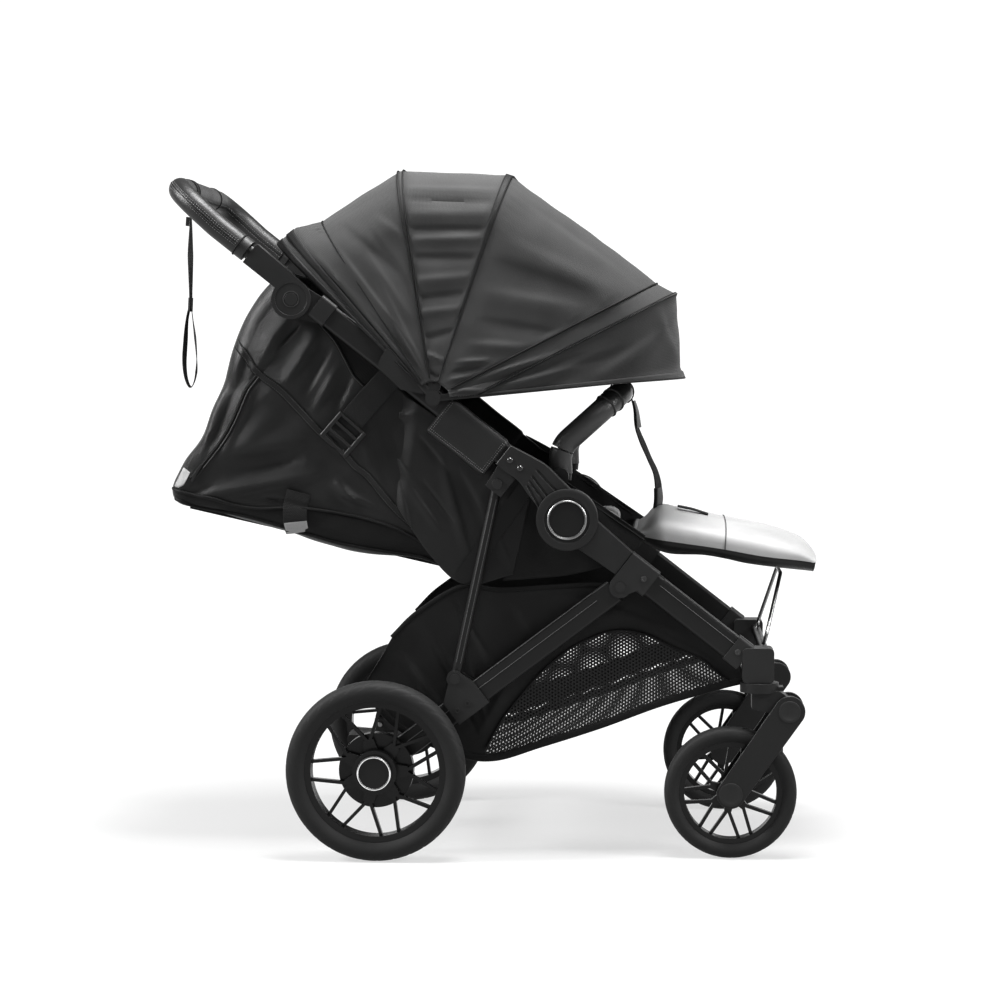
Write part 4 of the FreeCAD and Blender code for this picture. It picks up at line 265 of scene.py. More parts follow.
def leathercloth(name, level, rough, grain=700.0):
    """Coated cloth with a pebbled grain, a little smoother where hands rub it."""
    made = Finish(name, Specular_IOR_Level=0.32)
    pebbles = made.node("ShaderNodeTexVoronoi", {"feature": "DISTANCE_TO_EDGE"},
                        {"Vector": made.places(), "Scale": grain}, "Distance")
    worn = made.noise(14.0, 4.0, 0.6)
    fine = made.noise(grain * 2.2, 2.0)
    made.shade(worn * 0.7 + fine * 0.3, level, 0.75, 1.25)
    made.feed("Roughness", (worn * 0.22 + (rough - 0.1)).clip())
    made.feed("Normal", made.bump(pebbles.math("MINIMUM", 0.25) + fine * 0.12, 0.5, 0.0006))
    return made.material


def painted_metal(name, level, rough):
    """Fine matt powder coat, with a slightly paler, rubbed look in places."""
    made = Finish(name, Specular_IOR_Level=0.28, Coat_Weight=0.02, Coat_Roughness=0.3)
    dust = made.noise(26.0, 5.0, 0.62)
    speck = made.noise(1500.0, 2.0, 0.6)
    made.shade(dust * 0.6 + speck * 0.4, level, 0.8, 1.25)
    made.feed("Roughness", (dust * 0.2 + (rough - 0.1)).clip())
    made.feed("Normal", made.bump(speck, 0.25, 0.00025))
    return made.material


def plastic(name, level, rough, texture=1100.0, depth=0.0003):
    """Moulded plastic with a fine spark-eroded texture."""
    made = Finish(name, Specular_IOR_Level=0.26)
    slow = made.noise(18.0, 4.0, 0.6)
    pits = made.noise(texture, 3.0, 0.7)
    made.shade(slow * 0.6 + pits * 0.35, level, 0.8, 1.25)
    made.feed("Roughness", (slow * 0.18 + (rough - 0.09)).clip())
    made.feed("Normal", made.bump(pits, 0.4, depth))
    return made.material


def rubber(name, level):
    """Foamed tyre rubber: dull, faintly dusty, with a fine skin."""
    made = Finish(name, Specular_IOR_Level=0.2)
    dust = made.noise(20.0, 5.0, 0.65)
    skin = made.noise(800.0, 3.0, 0.7)
    made.shade(dust * 0.8 + skin * 0.25, level, 0.75, 1.35)
    made.feed("Roughness", (dust * 0.2 + 0.55).clip())
    made.feed("Normal", made.bump(skin, 0.35, 0.0004))
    return made.material


def metal(name, level, rough):
    """Bare steel with fine turning marks."""
    made = Finish(name, Metallic=1.0)
    marks = made.noise(420.0, 3.0, 0.6)
    made.feed("Base Color", made.blend(marks, grey(level * 0.8), grey(level)))
    made.feed("Roughness", (marks * 0.15 + rough).clip())
    made.feed("Normal", made.bump(marks, 0.15, 0.0002))
    return made.material


def thread(name, level):
    """Sewing thread: two plies twisted round each other."""
    made = Finish(name, Roughness=0.6)
    twist = made.noise(2200.0, 1.0)
    made.feed("Base Color", made.blend(twist, grey(level * 0.6), grey(level)))
    return made.material


MATERIALS = {
    "hood_cloth": cloth("hood_cloth", 0.030, 0.74, 0.0016, 0.0005, sheen=0.10),
    "bag_cloth": cloth("satin_cloth", 0.016, 0.38, 0.0013, 0.0003, sheen=0.04),
    "basket_cloth": cloth("basket_cloth", 0.008, 0.55, 0.0015, 0.0004, sheen=0.03),
    "lining": cloth("lining_cloth", 0.010, 0.75, 0.0014, 0.0004),
    "pale_cloth": cloth("pale_cloth", 0.30, 0.72, 0.0015, 0.0004, sheen=0.1, mottle=0.35),
    "dark_net": cloth("dark_net", 0.002, 0.8, 0.0024, 0.0006),
    "binding": cloth("binding", 0.004, 0.6, 0.0011, 0.0003),
    "net": net("knitted_net", 0.016, 0.0056),
    "webbing": webbing("webbing", 0.005, 0.0021),
    "leathercloth": leathercloth("leathercloth", 0.014, 0.40),
    # The bumper's cover is the same black leathercloth made about three times paler and smoother: a painted
    # highlight.
    "bumper_leathercloth": leathercloth("bumper_leathercloth", 0.045, 0.30),
    "pale_leathercloth": leathercloth("pale_leathercloth", 0.24, 0.46),
    "frame_coat": painted_metal("frame_coat", 0.010, 0.38),
    "casting": painted_metal("casting_coat", 0.018, 0.44),
    "plastic": plastic("moulded_plastic", 0.015, 0.42),
    "gloss_plastic": plastic("rim_plastic", 0.008, 0.24, 600.0, 0.0001),
    "badge": plastic("badge_disc", 0.010, 0.34, 900.0, 0.0001),
    "steel": metal("bare_steel", 0.30, 0.28),
    "screw": metal("screw_steel", 0.10, 0.32),
    "ring": metal("ring_metal", 0.30, 0.30),
    # A paler coat for thin beads along the tubes' ridges: a painted highlight.
    "worn_edge": painted_metal("worn_edge", 0.10, 0.30),
    "bright": metal("bright_trim", 0.92, 0.18),
    "rubber": rubber("tyre_rubber", 0.018),
    "thread": thread("sewing_thread", 0.20),
    "dark_thread": thread("dark_thread", 0.05),
}


# Lines and curves

class Line:
    """A straight member seen from the side: places are given along it and off it, upwards."""

    def __init__(self, start, angle):
        turn = math.radians(angle)
        self.start = start
        self.run = (math.cos(turn), math.sin(turn))
        flip = 1 if self.run[0] >= 0 else -1
        self.rise = (-flip * self.run[1], flip * self.run[0])

    def at(self, along, off=0.0, y=0.0):
        x = self.start[0] + self.run[0] * along + self.rise[0] * off
        z = self.start[1] + self.run[1] * along + self.rise[1] * off
        return np.stack(np.broadcast_arrays(x, y, z), axis=-1)


HUB = (116.0, 529.0)
UPPER = Line(HUB, 141.6)
LEG = Line(HUB, -37.85)
BACK_HINGE = (-45.0, 440.0)
BACK_ANGLE = 167.3
BACK = Line(BACK_HINGE, BACK_ANGLE)
HOOD_PIVOT = (-91.999, 716.061)
BUMPER_PIVOT = (103.992, 594.024)
UPPER_OFF = 16.5
UPPER_HALF = 18.2
HANDLE_TOP = (799.5, 22.6)
TUBE_MIDDLE = 222.0
TUBE_OUT = 232.0


def ease(t):
    """A smooth step from 0 to 1."""
    t = np.clip(t, 0.0, 1.0)
    return t * t * (3 - 2 * t)


def unit(v):
    return v / np.maximum(np.linalg.norm(v, axis=-1, keepdims=True), 1e-9)


def spread(points, count):
    """Places at even distances along the runs between points."""
    points = np.asarray(points, float)
    far = np.concatenate([[0.0], np.cumsum(np.linalg.norm(np.diff(points, axis=0), axis=1))])
    where = np.linspace(0.0, far[-1], count)
    return np.stack([np.interp(where, far, points[:, k]) for k in range(points.shape[1])], axis=1)


def curve(points, count):
    """A smooth line through points: each run is the cubic that leaves and meets its neighbours in line."""
    p = np.asarray(points, float)
    p = np.vstack([2 * p[0] - p[1], p, 2 * p[-1] - p[-2]])
    t = np.linspace(0.0, 1.0, 24, endpoint=False)[:, None, None]
    a, b, c, d = p[:-3], p[1:-2], p[2:-1], p[3:]
    runs = 0.5 * (2 * b + (c - a) * t + (2 * a - 5 * b + 4 * c - d) * t**2 + (3 * b - a - 3 * c + d) * t**3)
    line = runs.transpose(1, 0, 2).reshape(-1, p.shape[1])
    return spread(np.vstack([line, p[-2]]), count)


def rounded(points, radii, count):
    """The runs between points with each inner corner turned into an arc of its radius."""
    points = np.asarray(points, float)
    line = [points[0]]
    for before, at, after, radius in zip(points[:-2], points[1:-1], points[2:], radii):
        back, on = unit(before - at), unit(after - at)
        half = math.acos(float(np.clip(back @ on, -1, 1))) / 2
        centre = at + unit(back + on) * radius / math.sin(half)
        start = at + back * radius / math.tan(half) - centre
        end = at + on * radius / math.tan(half) - centre
        span = math.pi - 2 * half
        t = np.linspace(0.0, 1.0, 17)[:, None]
        line.extend(centre + (np.sin((1 - t) * span) * start + np.sin(t * span) * end) / math.sin(span))
    line.append(points[-1])
    return spread(line, count)


def side_line(points, y, count=None, smooth=True):
    """A line in one upright plane beside the pushchair, from its X and Z places."""
    points = np.asarray(points, float)
    line = np.stack([points[:, 0], np.broadcast_to(y, len(points)), points[:, 1]], axis=1)
    if count is None:
        return line
    return curve(line, count) if smooth else spread(line, count)


def both_sides(left):
    """Places on the left side, then the same ones on the right side in the other order."""
    return left + [p * np.array([1.0, -1.0, 1.0]) for p in reversed(left)]


def circle(centre, first, second, radius, count=49):
    """A closed ring of places about a centre, in the plane of two directions."""
    t = np.linspace(0, 2 * math.pi, count)[:, None]
    return centre + (first * np.cos(t) + second * np.sin(t)) * radius


def creases(x, z, table):
    """Height of soft folds: each runs between two places, is sharper on one flank and fades at its ends."""
    height = np.zeros(np.broadcast(x, z).shape)
    for x0, z0, x1, z1, wide, high in table:
        dx, dz = x1 - x0, z1 - z0
        length = math.hypot(dx, dz)
        along = ((x - x0) * dx + (z - z0) * dz) / length**2
        off = ((x - x0) * dz - (z - z0) * dx) / length
        flank = np.where(off > 0, off / wide, off / (wide * 0.5))
        height += high * np.exp(-flank**2) * np.sin(math.pi * np.clip(along, 0, 1))
    return height


def swell(points, seed, size, high):
    """Slow unevenness of hand-sewn cloth: a few crossing waves of about one size, the same each run."""
    rng = np.random.default_rng(seed)
    height = np.zeros(points.shape[:-1])
    for _ in range(7):
        way = rng.normal(size=3)
        way *= 2 * math.pi / (size * rng.uniform(0.7, 1.5)) / np.linalg.norm(way)
        height += np.sin(points @ way + rng.uniform(0, 2 * math.pi))
    return height * high / 7


def normals_of(points):
    """Directions square to a grid of places, from the cross of its two runs."""
    return unit(np.cross(np.gradient(points, axis=0), np.gradient(points, axis=1)))


# Meshes

def make(name, co, faces, material, uv=None, weld=True, turn_out=False):
    """A mesh object from places in millimetres and faces, with its UV map, merged seams and poles."""
    mesh = bpy.data.meshes.new(name)
    mesh.from_pydata((co * MM).tolist(), [], faces.tolist())
    if uv is not None:
        layer = mesh.uv_layers.new(name="UVMap")
        layer.data.foreach_set("uv", (uv[faces.ravel()] * MM).astype(np.float32).ravel())
    if weld:
        shape = bmesh.new()
        shape.from_mesh(mesh)
        bmesh.ops.remove_doubles(shape, verts=shape.verts, dist=2e-6)
        bmesh.ops.dissolve_degenerate(shape, edges=shape.edges, dist=1e-7)
        if turn_out:
            bmesh.ops.recalc_face_normals(shape, faces=shape.faces)
        shape.to_mesh(mesh)
        shape.free()
    mesh.polygons.foreach_set("use_smooth", np.ones(len(mesh.polygons), bool))
    mesh.set_sharp_from_angle(angle=math.radians(38.0))
    mesh.materials.append(MATERIALS[material])
    made = bpy.data.objects.new(name, mesh)
    bpy.context.scene.collection.objects.link(made)
    return made


def quads(rows, columns, flip=False):
    """Faces of a grid of vertices laid out row after row."""
    n = np.arange(rows * columns).reshape(rows, columns)
    ring = [n[:-1, :-1], n[:-1, 1:], n[1:, 1:], n[1:, :-1]]
    return np.stack(ring[::-1] if flip else ring, axis=-1).reshape(-1, 4)


def surface(name, points, material, flip=False, closed=False):
    """A grid of places joined by four-sided faces; its UV map is the distance along the rows and columns."""
    rows, columns = points.shape[:2]
    down = np.linalg.norm(np.diff(points, axis=0), axis=2).mean(1)
    over = np.linalg.norm(np.diff(points, axis=1), axis=2).mean(0)
    v, u = np.meshgrid(np.concatenate([[0], np.cumsum(over)]), np.concatenate([[0], np.cumsum(down)]))
    uv = np.stack([u, v], axis=-1).reshape(-1, 2)
    return make(name, points.reshape(-1, 3), quads(rows, columns, flip), material, uv, turn_out=closed)


def sheet_of(name, points, material, thick, flip=False):
    """A cloth surface with its thickness laid inwards from the outer face."""
    made = surface(name, points, material, flip)
    wall = made.modifiers.new("thickness", "SOLIDIFY")
    wall.thickness = thick * MM
    wall.offset = -1.0
    wall.use_quality_normals = True
    return made


def area_of(points):
    """Area of a grid of places, in square metres, from the two triangles of each of its faces."""
    a, b, c, d = points[:-1, :-1], points[:-1, 1:], points[1:, 1:], points[1:, :-1]
    both = np.linalg.norm(np.cross(b - a, c - a), axis=-1) + np.linalg.norm(np.cross(c - a, d - a), axis=-1)
    return float(both.sum() / 2) * MM * MM


def round_profile(wide, high, count=20, square=2.0):
    """A closed oval; a higher square makes it boxier. The first place is repeated at the end."""
    t = np.linspace(0, 2 * math.pi, count + 1)
    c, s = np.cos(t), np.sin(t)
    return np.stack([np.sign(c) * np.abs(c) ** (2 / square) * wide / 2,
                     np.sign(s) * np.abs(s) ** (2 / square) * high / 2], axis=1)


def sweep_grid(line, profile, ref):
    """A profile carried along a line: its first axis lies along ref made square to the line."""
    ahead = unit(np.gradient(line, axis=0))
    ref = np.broadcast_to(np.asarray(ref, float), line.shape)
    first = unit(ref - (ref * ahead).sum(1, keepdims=True) * ahead)
    second = np.cross(ahead, first)
    wide, high = (profile[None, :, k, None] for k in (0, 1))
    grid = line[:, None, :] + (wide * first[:, None, :] + high * second[:, None, :])
    ends = [np.repeat(line[k][None, None, :], len(profile), axis=1) for k in (0, -1)]
    return np.concatenate([ends[0], grid, ends[1]], axis=0)


def sweep(name, line, profile, ref, material):
    """A closed piece with one section along a line; its ends are gathered to a point."""
    return surface(name, sweep_grid(line, profile, ref), material, closed=True)


def joined(name, made):
    """Several meshes of one piece as one object, each keeping its own finish."""
    with bpy.context.temp_override(active_object=made[0], selected_editable_objects=made,
                                   object=made[0], selected_objects=made):
        bpy.ops.object.join()
    made[0].name = name
    return made[0]


def stitches(name, line, out, pitch=3.2, length=2.1, wide=0.75, material="thread"):
    """A row of thread stitches: one small six-cornered lozenge every pitch along a line, raised outwards."""
    span = np.linalg.norm(np.diff(line, axis=0), axis=1).sum()
    count = max(int(span / pitch), 2)
    middle = spread(line, count)
    ahead = unit(np.gradient(middle, axis=0))
    out = np.broadcast_to(np.asarray(out, float), line.shape)
    out = unit(spread(np.hstack([line, out * 1e-3]), count)[:, 3:])
    beside = np.cross(ahead, out)
    corners = np.stack([-ahead * length / 2, beside * wide / 2, ahead * length / 2, -beside * wide / 2,
                        out * wide / 2, -out * wide / 2], axis=1) + middle[:, None, :]
    one = np.array([[0, 4, 3], [3, 4, 2], [2, 4, 1], [1, 4, 0], [0, 3, 5], [3, 2, 5], [2, 1, 5], [1, 0, 5]])
    faces = (np.arange(count)[:, None, None] * 6 + one[None]).reshape(-1, 3)
    return make(name, corners.reshape(-1, 3), faces, material, weld=False)


def place(piece, body, slot, replaces=()):
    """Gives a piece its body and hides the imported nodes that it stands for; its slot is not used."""
    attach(piece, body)
    if replaces:
        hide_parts(*replaces)
    return piece


def mirror(points):
    """The same places on the other side, with the rows kept and the columns turned round."""
    return (points * np.array([1.0, -1.0, 1.0]))[:, ::-1]


def angle_blend(piece):
    """Bakes a piece's placing into its mesh and reads its places in millimetres; it bends nothing."""
    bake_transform(piece)
    co = np.zeros(len(piece.data.vertices) * 3)
    piece.data.vertices.foreach_get("co", co)
    co = co.reshape(-1, 3) / MM


# Finish of the rigid parts

def dress(names, material, bevel=0.8, angle=32.0):
    """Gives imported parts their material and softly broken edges, with flat faces made whole first."""
    for name in names:
        part = NODES[name]
        part.data.materials.clear()
        part.data.materials.append(MATERIALS[material])
        part.data.polygons.foreach_set("use_smooth", np.ones(len(part.data.polygons), bool))
        if "custom_normal" in part.data.attributes:
            part.data.attributes.remove(part.data.attributes["custom_normal"])
        weld = part.modifiers.new("weld", "WELD")
        weld.merge_threshold = 1e-5
        flat = part.modifiers.new("flat faces", "DECIMATE")
        flat.decimate_type = "DISSOLVE"
        flat.angle_limit = math.radians(1.2)
        if bevel:
            edge = part.modifiers.new("edges", "BEVEL")
            edge.width = bevel * MM
            edge.segments = 2
            edge.limit_method = "ANGLE"
            edge.angle_limit = math.radians(angle)
            edge.harden_normals = True


def dress_frame():
    """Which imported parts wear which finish."""
    dress(["upper_tubes", "front_leg_tubes", "rear_leg_tubes", "front_cross_tube", "handle_tube",
           "rear_axle", "seat_frame"], "frame_coat", 0.7)
    dress(["rear_struts"], "frame_coat", 0.5)
    dress(["hub_housings", "leg_junctions", "caster_housings", "strut_clevises"], "casting", 1.4)
    dress(["rear_brackets"], "casting", 0.4)
    even = NODES["rear_brackets"].modifiers.new("even shading", "WEIGHTED_NORMAL")
    even.weight = 100
    dress(["seat_side_brackets"], "badge", 0.6)
    dress(["handle_hinge_lowers", "handle_hinge_uppers", "hood_brackets",
           "brake_pedal"], "plastic", 1.0)
    for side in SIDES:
        dress([f"caster_crown_{side}", f"caster_fork_{side}", f"handle_button_{side}"], "plastic", 1.6)
        dress([f"rear_rim_{side}", f"front_rim_{side}"], "gloss_plastic", 0.9)
        dress([f"rear_cap_{side}"], "badge", 0.5)
        dress([f"brake_pin_{side}"], "steel", 0.4)
    dress(["frame_screws"], "screw", 0.3)
    dress(["leg_rest_prop"], "steel", 0.0)
    dress(["backrest_board"], "lining", 1.0)


# Hood

HOOD_SIDE = 243.0
HOOD_CORNER = 85.0
HOOD_FOOT = 26.0
BOWS = {"edge": (136.2, 353.5), "rear": (130.1, 351.0), "seam": (123.5, 333.0), "middle": (99.4, 361.5),
        "front": (72.0, 367.5), "visor": (27.3, 388.5), "rim": (4.5, 391.2)}
HOOD_CLOTH = 1.6
HOOD_LEAN = 0.145
HOOD_LEG = 80


def hoop(angle, reach, lift=0.0, foot=HOOD_FOOT):
    """One U-shaped line of the hood at an angle about the pivot: up one side, over the top and down."""
    line = Line(HOOD_PIVOT, angle)
    side, top, corner = HOOD_SIDE, reach + lift, HOOD_CORNER
    t = np.linspace(0.0, math.pi / 2, 26)
    leg = np.linspace(foot, top - corner, HOOD_LEG)
    over = np.linspace(-(side - corner), side - corner, 62)[1:-1]
    radius = np.concatenate([leg[:-1], top - corner + corner * np.sin(t), np.full(len(over), top),
                             (top - corner + corner * np.sin(t))[::-1], leg[:-1][::-1]])
    y = np.concatenate([np.full(len(leg) - 1, -side), -(side - corner) - corner * np.cos(t), over,
                        (side - corner + corner * np.cos(t))[::-1], np.full(len(leg) - 1, side)])
    y = y * (1 - HOOD_LEAN * (radius / top) ** 1.5)
    y = y + np.sign(y) * lift * np.clip(np.abs(y) / (side * 0.8) * 3 - 2, 0, 1)
    return line.at(radius, 0.0, y)


def between(first, last, count):
    """Straight cloth between two lines of the same number of places."""
    t = np.linspace(0.0, 1.0, count)[:, None, None]
    return first[None] * (1 - t) + last[None] * t


HOOD_FOLDS = {
    "rear": [
        (-252, 958, -120, 790, 9, 3.6), (-246, 990, -140, 905, 14, -3.0), (-215, 965, -120, 830, 14, 3.4),
        (-200, 985, -110, 860, 12, -2.6), (-178, 900, -98, 745, 9, 3.2), (-165, 850, -96, 735, 7, -3.0),
        (-190, 1000, -130, 960, 12, 2.2), (-300, 950, -140, 790, 9, -3.4), (-282, 945, -130, 770, 7, 2.8),
        (-230, 875, -110, 740, 8, -2.6),
    ],
    "middle": [
        (-190, 1043, 60, 1036, 8, 2.6), (-190, 1026, 60, 1019, 5, -2.6), (-190, 1002, 50, 1003, 12, 3.4),
        (-180, 978, 40, 978, 8, -3.0), (-180, 960, 30, 966, 10, 3.2), (-170, 935, 10, 932, 10, -3.2),
        (-160, 893, 0, 908, 13, 3.4), (-150, 868, -20, 880, 9, -2.8), (-140, 846, -30, 858, 9, 3.0),
        (-125, 805, -50, 822, 8, -3.0), (-112, 790, -66, 770, 6, 3.4), (-108, 760, -70, 745, 5, -3.0),
    ],
    "front": [
        (30, 1052, 260, 892, 8, 2.2), (50, 1022, 240, 885, 8, -2.2), (70, 1000, 225, 895, 9, 2.2),
        (0, 965, 190, 878, 26, 4.0), (-10, 930, 175, 868, 20, -3.6), (-18, 880, 150, 850, 22, 3.8),
        (-30, 835, 120, 812, 16, -3.0), (-45, 800, 60, 795, 12, 3.4), (-60, 772, 0, 776, 6, 3.8),
        (-66, 756, -14, 764, 5, -3.6), (-72, 744, -30, 752, 5, 3.4),
    ],
    "visor": [
        (-60, 737, 120, 792, 6, 3.4), (-40, 733, 150, 786, 8, -3.4), (-10, 731, 170, 772, 9, 3.2),
        (60, 735, 230, 800, 14, -3.6), (150, 740, 270, 822, 16, 3.6), (215, 745, 288, 850, 12, -2.6),
        (-70, 728, -10, 729, 4, 3.0), (20, 728, 120, 736, 6, -2.6), (250, 870, 286, 770, 10, 2.6),
    ],
}
# Where pleats are gathered into a seam: edge, pitch, reach, height, and the share of the line they start at
HOOD_GATHERS = {
    "rear": [(0.24, 11.0, 90.0, 2.4, 0.24)],
    "middle": [],
    "front": [(1.0, 10.0, 24.0, 2.6, 0.26), (0.0, 15.0, 30.0, 1.2, 0.22)],
    "visor": [(0.0, 12.0, 14.0, 1.2, 0.26)],
}


def hood_cloth(points, part, seed):
    """Cloth drawn between bows: its folds stand outwards, and its pleats fade away from their seams."""
    rows, columns = points.shape[:2]
    down = np.linalg.norm(np.diff(points, axis=0), axis=2).mean(1)
    over = np.linalg.norm(np.diff(points, axis=1), axis=2).mean(0)
    t = np.concatenate([[0.0], np.cumsum(down)])[:, None]
    s = np.concatenate([[0.0], np.cumsum(over)])[None, :]
    fade = ease(np.minimum(t, t[-1] - t) / 14)
    out = normals_of(points)
    out = out * np.where((out * (points - points.mean((0, 1)))).sum(-1, keepdims=True) > 0, 1, -1)
    near = np.hypot(points[..., 0] - HOOD_PIVOT[0], points[..., 2] - HOOD_PIVOT[1])
    high = creases(points[..., 0], points[..., 2], HOOD_FOLDS[part]) * ease(near / 50)
    high = high + swell(points, seed, 60.0, 1.6) * ease(near / 120)
    for edge, pitch, reach, tall, start in HOOD_GATHERS[part]:
        far = np.abs(t - edge * t[-1]) if edge in (0.0, 1.0) else np.maximum(t - edge * t[-1], 0)
        pleat = np.abs(np.sin(math.pi * s / pitch + 1.3 * np.sin(s / 37.0))) - 0.6
        share = np.minimum(s, s[0, -1] - s) / s[0, -1]
        high = high + tall * pleat * np.exp(-far / reach) * ease(far / 7) * ease((share - start) * 12)
    return points + out * (high * fade)[..., None]


def hood_band(name, first, last, lift, material, thick=1.2):
    """A narrow strip of cloth over the hood between two angles, raised off it."""
    points = between(hoop(*first, lift=lift), hoop(*last, lift=lift), 4)
    return sheet_of(name, points, material, thick, flip=True)


def hood_piping(name, angle, reach, radius):
    """A cord of binding sewn along a bow."""
    line = spread(hoop(angle, reach, 0.6, HOOD_FOOT + 6), 260)
    rise = Line(HOOD_PIVOT, angle).rise
    return sweep(name, line, round_profile(2 * radius, 2 * radius, 10), (rise[0], 0.0, rise[1]), "binding")


def hood_rear():
    """The rear panel: a band behind the rear bow, a gathered seam and the first taut panel."""
    stations = [BOWS["edge"], BOWS["rear"], BOWS["seam"], BOWS["middle"]]
    hoops = [hoop(*station) for station in stations]
    parts = [between(hoops[0], hoops[1], 9)[:-1], between(hoops[1], hoops[2], 9)[:-1],
             between(hoops[2], hoops[3], 80)]
    points = np.concatenate(parts, axis=0)
    points = hood_cloth(points, "rear", 11)
    panel = sheet_of("hood_rear_cloth", points, "hood_cloth", HOOD_CLOTH, flip=True)
    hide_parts("hood_panel_rear")
    area_of(points)
    trims = [
        panel,
        hood_band("hood_rear_binding", (136.6, 353.8), (134.6, 352.8), 0.5, "binding"),
        hood_band("hood_rear_net", (133.2, 352.4), (130.9, 351.4), 0.5, "lining"),
        hood_piping("hood_gather_seam", 123.5, 333.0, 1.1),
        hood_piping("hood_middle_piping_rear", 100.1, 361.3, 1.3),
    ]
    for trim in trims:
        angle_blend(trim)


def hood_middle():
    """The middle panel, with the piping on the front of its bow."""
    points = between(hoop(*BOWS["middle"]), hoop(*BOWS["front"]), 60)
    points = hood_cloth(points, "middle", 12)
    panel = sheet_of("hood_middle_cloth", points, "hood_cloth", HOOD_CLOTH, flip=True)
    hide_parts("hood_panel_middle")
    area_of(points)
    trims = [panel, hood_piping("hood_middle_piping_front", 98.7, 361.6, 1.3)]
    for trim in trims:
        angle_blend(trim)


def hood_front():
    """The front panel between the front bow and the peak's seam, with its binding and piping."""
    points = between(hoop(*BOWS["front"]), hoop(*BOWS["visor"]), 120)
    points = hood_cloth(points, "front", 13)
    panel = sheet_of("hood_front_cloth", points, "hood_cloth", HOOD_CLOTH, flip=True)
    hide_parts("hood_panel_front")
    area_of(points)
    trims = [
        panel,
        hood_band("hood_front_binding", (72.9, 367.5), (71.0, 367.6), 0.7, "binding"),
        hood_piping("hood_visor_piping", 27.4, 388.4, 1.5),
    ]
    for trim in trims:
        angle_blend(trim)


def visor_line(drop, crown, lift=0.0):
    """A U-shaped line parallel to the visor's seam and a drop below it, ending at a place in front."""
    seam = hoop(*BOWS["visor"], lift=lift)
    rim = hoop(*BOWS["rim"], lift=lift)
    line = Line(HOOD_PIVOT, BOWS["visor"][0])
    t = np.clip((np.arange(len(seam))) / HOOD_LEG, 0, 1)
    t = np.minimum(t, t[::-1])
    down = np.array([line.rise[0], 0.0, line.rise[1]]) * -drop
    moved = seam + down
    top = np.array([crown[0], 0.0, crown[1]])
    tip = Line(HOOD_PIVOT, BOWS["visor"][0]).at(BOWS["visor"][1])
    moved = moved + (top - (tip + down)) * ease(t)[:, None] * np.array([1.0, 0.0, 1.0])
    low = rim + (moved - rim) * 0.02
    inside = (moved[:, 2] < rim[:, 2]) & (t < 0.9)
    return np.where(inside[:, None], low, moved)


def hood_visor():
    """The peak: a band from the seam to the zip, a front wall that drops to the rim, and the rim's hem."""
    seam = hoop(*BOWS["visor"])
    zip_line = visor_line(26.0, (283.0, 879.0))
    middle = hoop(15.6, 394.5)
    lower = hoop(7.0, 385.0)
    rim = hoop(*BOWS["rim"])
    bend = (zip_line + 2 * middle) / 3
    parts = [between(seam, zip_line, 10)[:-1], between(zip_line, bend * 0.35 + zip_line * 0.65, 6)[:-1],
             between(bend * 0.35 + zip_line * 0.65, middle, 14)[:-1], between(middle, lower, 14)[:-1],
             between(lower, rim, 8)]
    points = np.concatenate(parts, axis=0)
    points = hood_cloth(points, "visor", 14)
    panel = sheet_of("hood_visor_cloth", points, "hood_cloth", HOOD_CLOTH, flip=True)
    area_of(points)
    place(panel, "hood_peak", "cloth", ["hood_visor"])
    hem = hood_band("hood_rim_hem", (6.0, 388.5), (4.4, 391.4), 0.8, "hood_cloth", 2.4)
    place(hem, "hood_peak", "cloth")
    for drop, name in ((24.2, "above"), (27.8, "below")):
        line = spread(visor_line(drop, (282.0 + (drop - 26.0) * 0.3, 879.0 - (drop - 26.0)), lift=0.9), 260)
        place(sweep(f"hood_zip_tape_{name}", line, round_profile(1.6, 1.6, 8), (0.0, 0.0, 1.0), "binding"),
              "hood_peak", "cloth")
    teeth = visor_line(26.0, (283.0, 879.0), lift=1.2)[4:-4]
    place(stitches("hood_zip_teeth", teeth, (0.0, 0.0, 1.0), 2.4, 1.3, 3.0, "dark_thread"), "hood_peak",
          "cloth")


def build_hood():
    """The cloth and, under it, the flat bows that it is drawn over."""
    bows = [("hood_bow_rear", "rear", "upper_frame"), ("hood_bow_middle", "middle", "hood_middle"),
            ("hood_bow_front", "front", "hood_front"), ("hood_visor_frame", "rim", "hood_peak")]
    for node, name, body in bows:
        angle, reach = BOWS[name]
        rise = Line(HOOD_PIVOT, angle).rise
        line = spread(hoop(angle + (1.0 if name == "rim" else 0.0), reach - 5.0, -4.6, 8.0), 220)
        profile = round_profile(11.0, 5.0, 14, 4.0)
        bow = sweep(f"{node}_wand", line, profile, (rise[0], 0.0, rise[1]), "plastic")
        place(bow, body, "moulded_plastic", [node])
    hood_rear()
    hood_middle()
    hood_front()
    hood_visor()


# Seat back's fabric shell

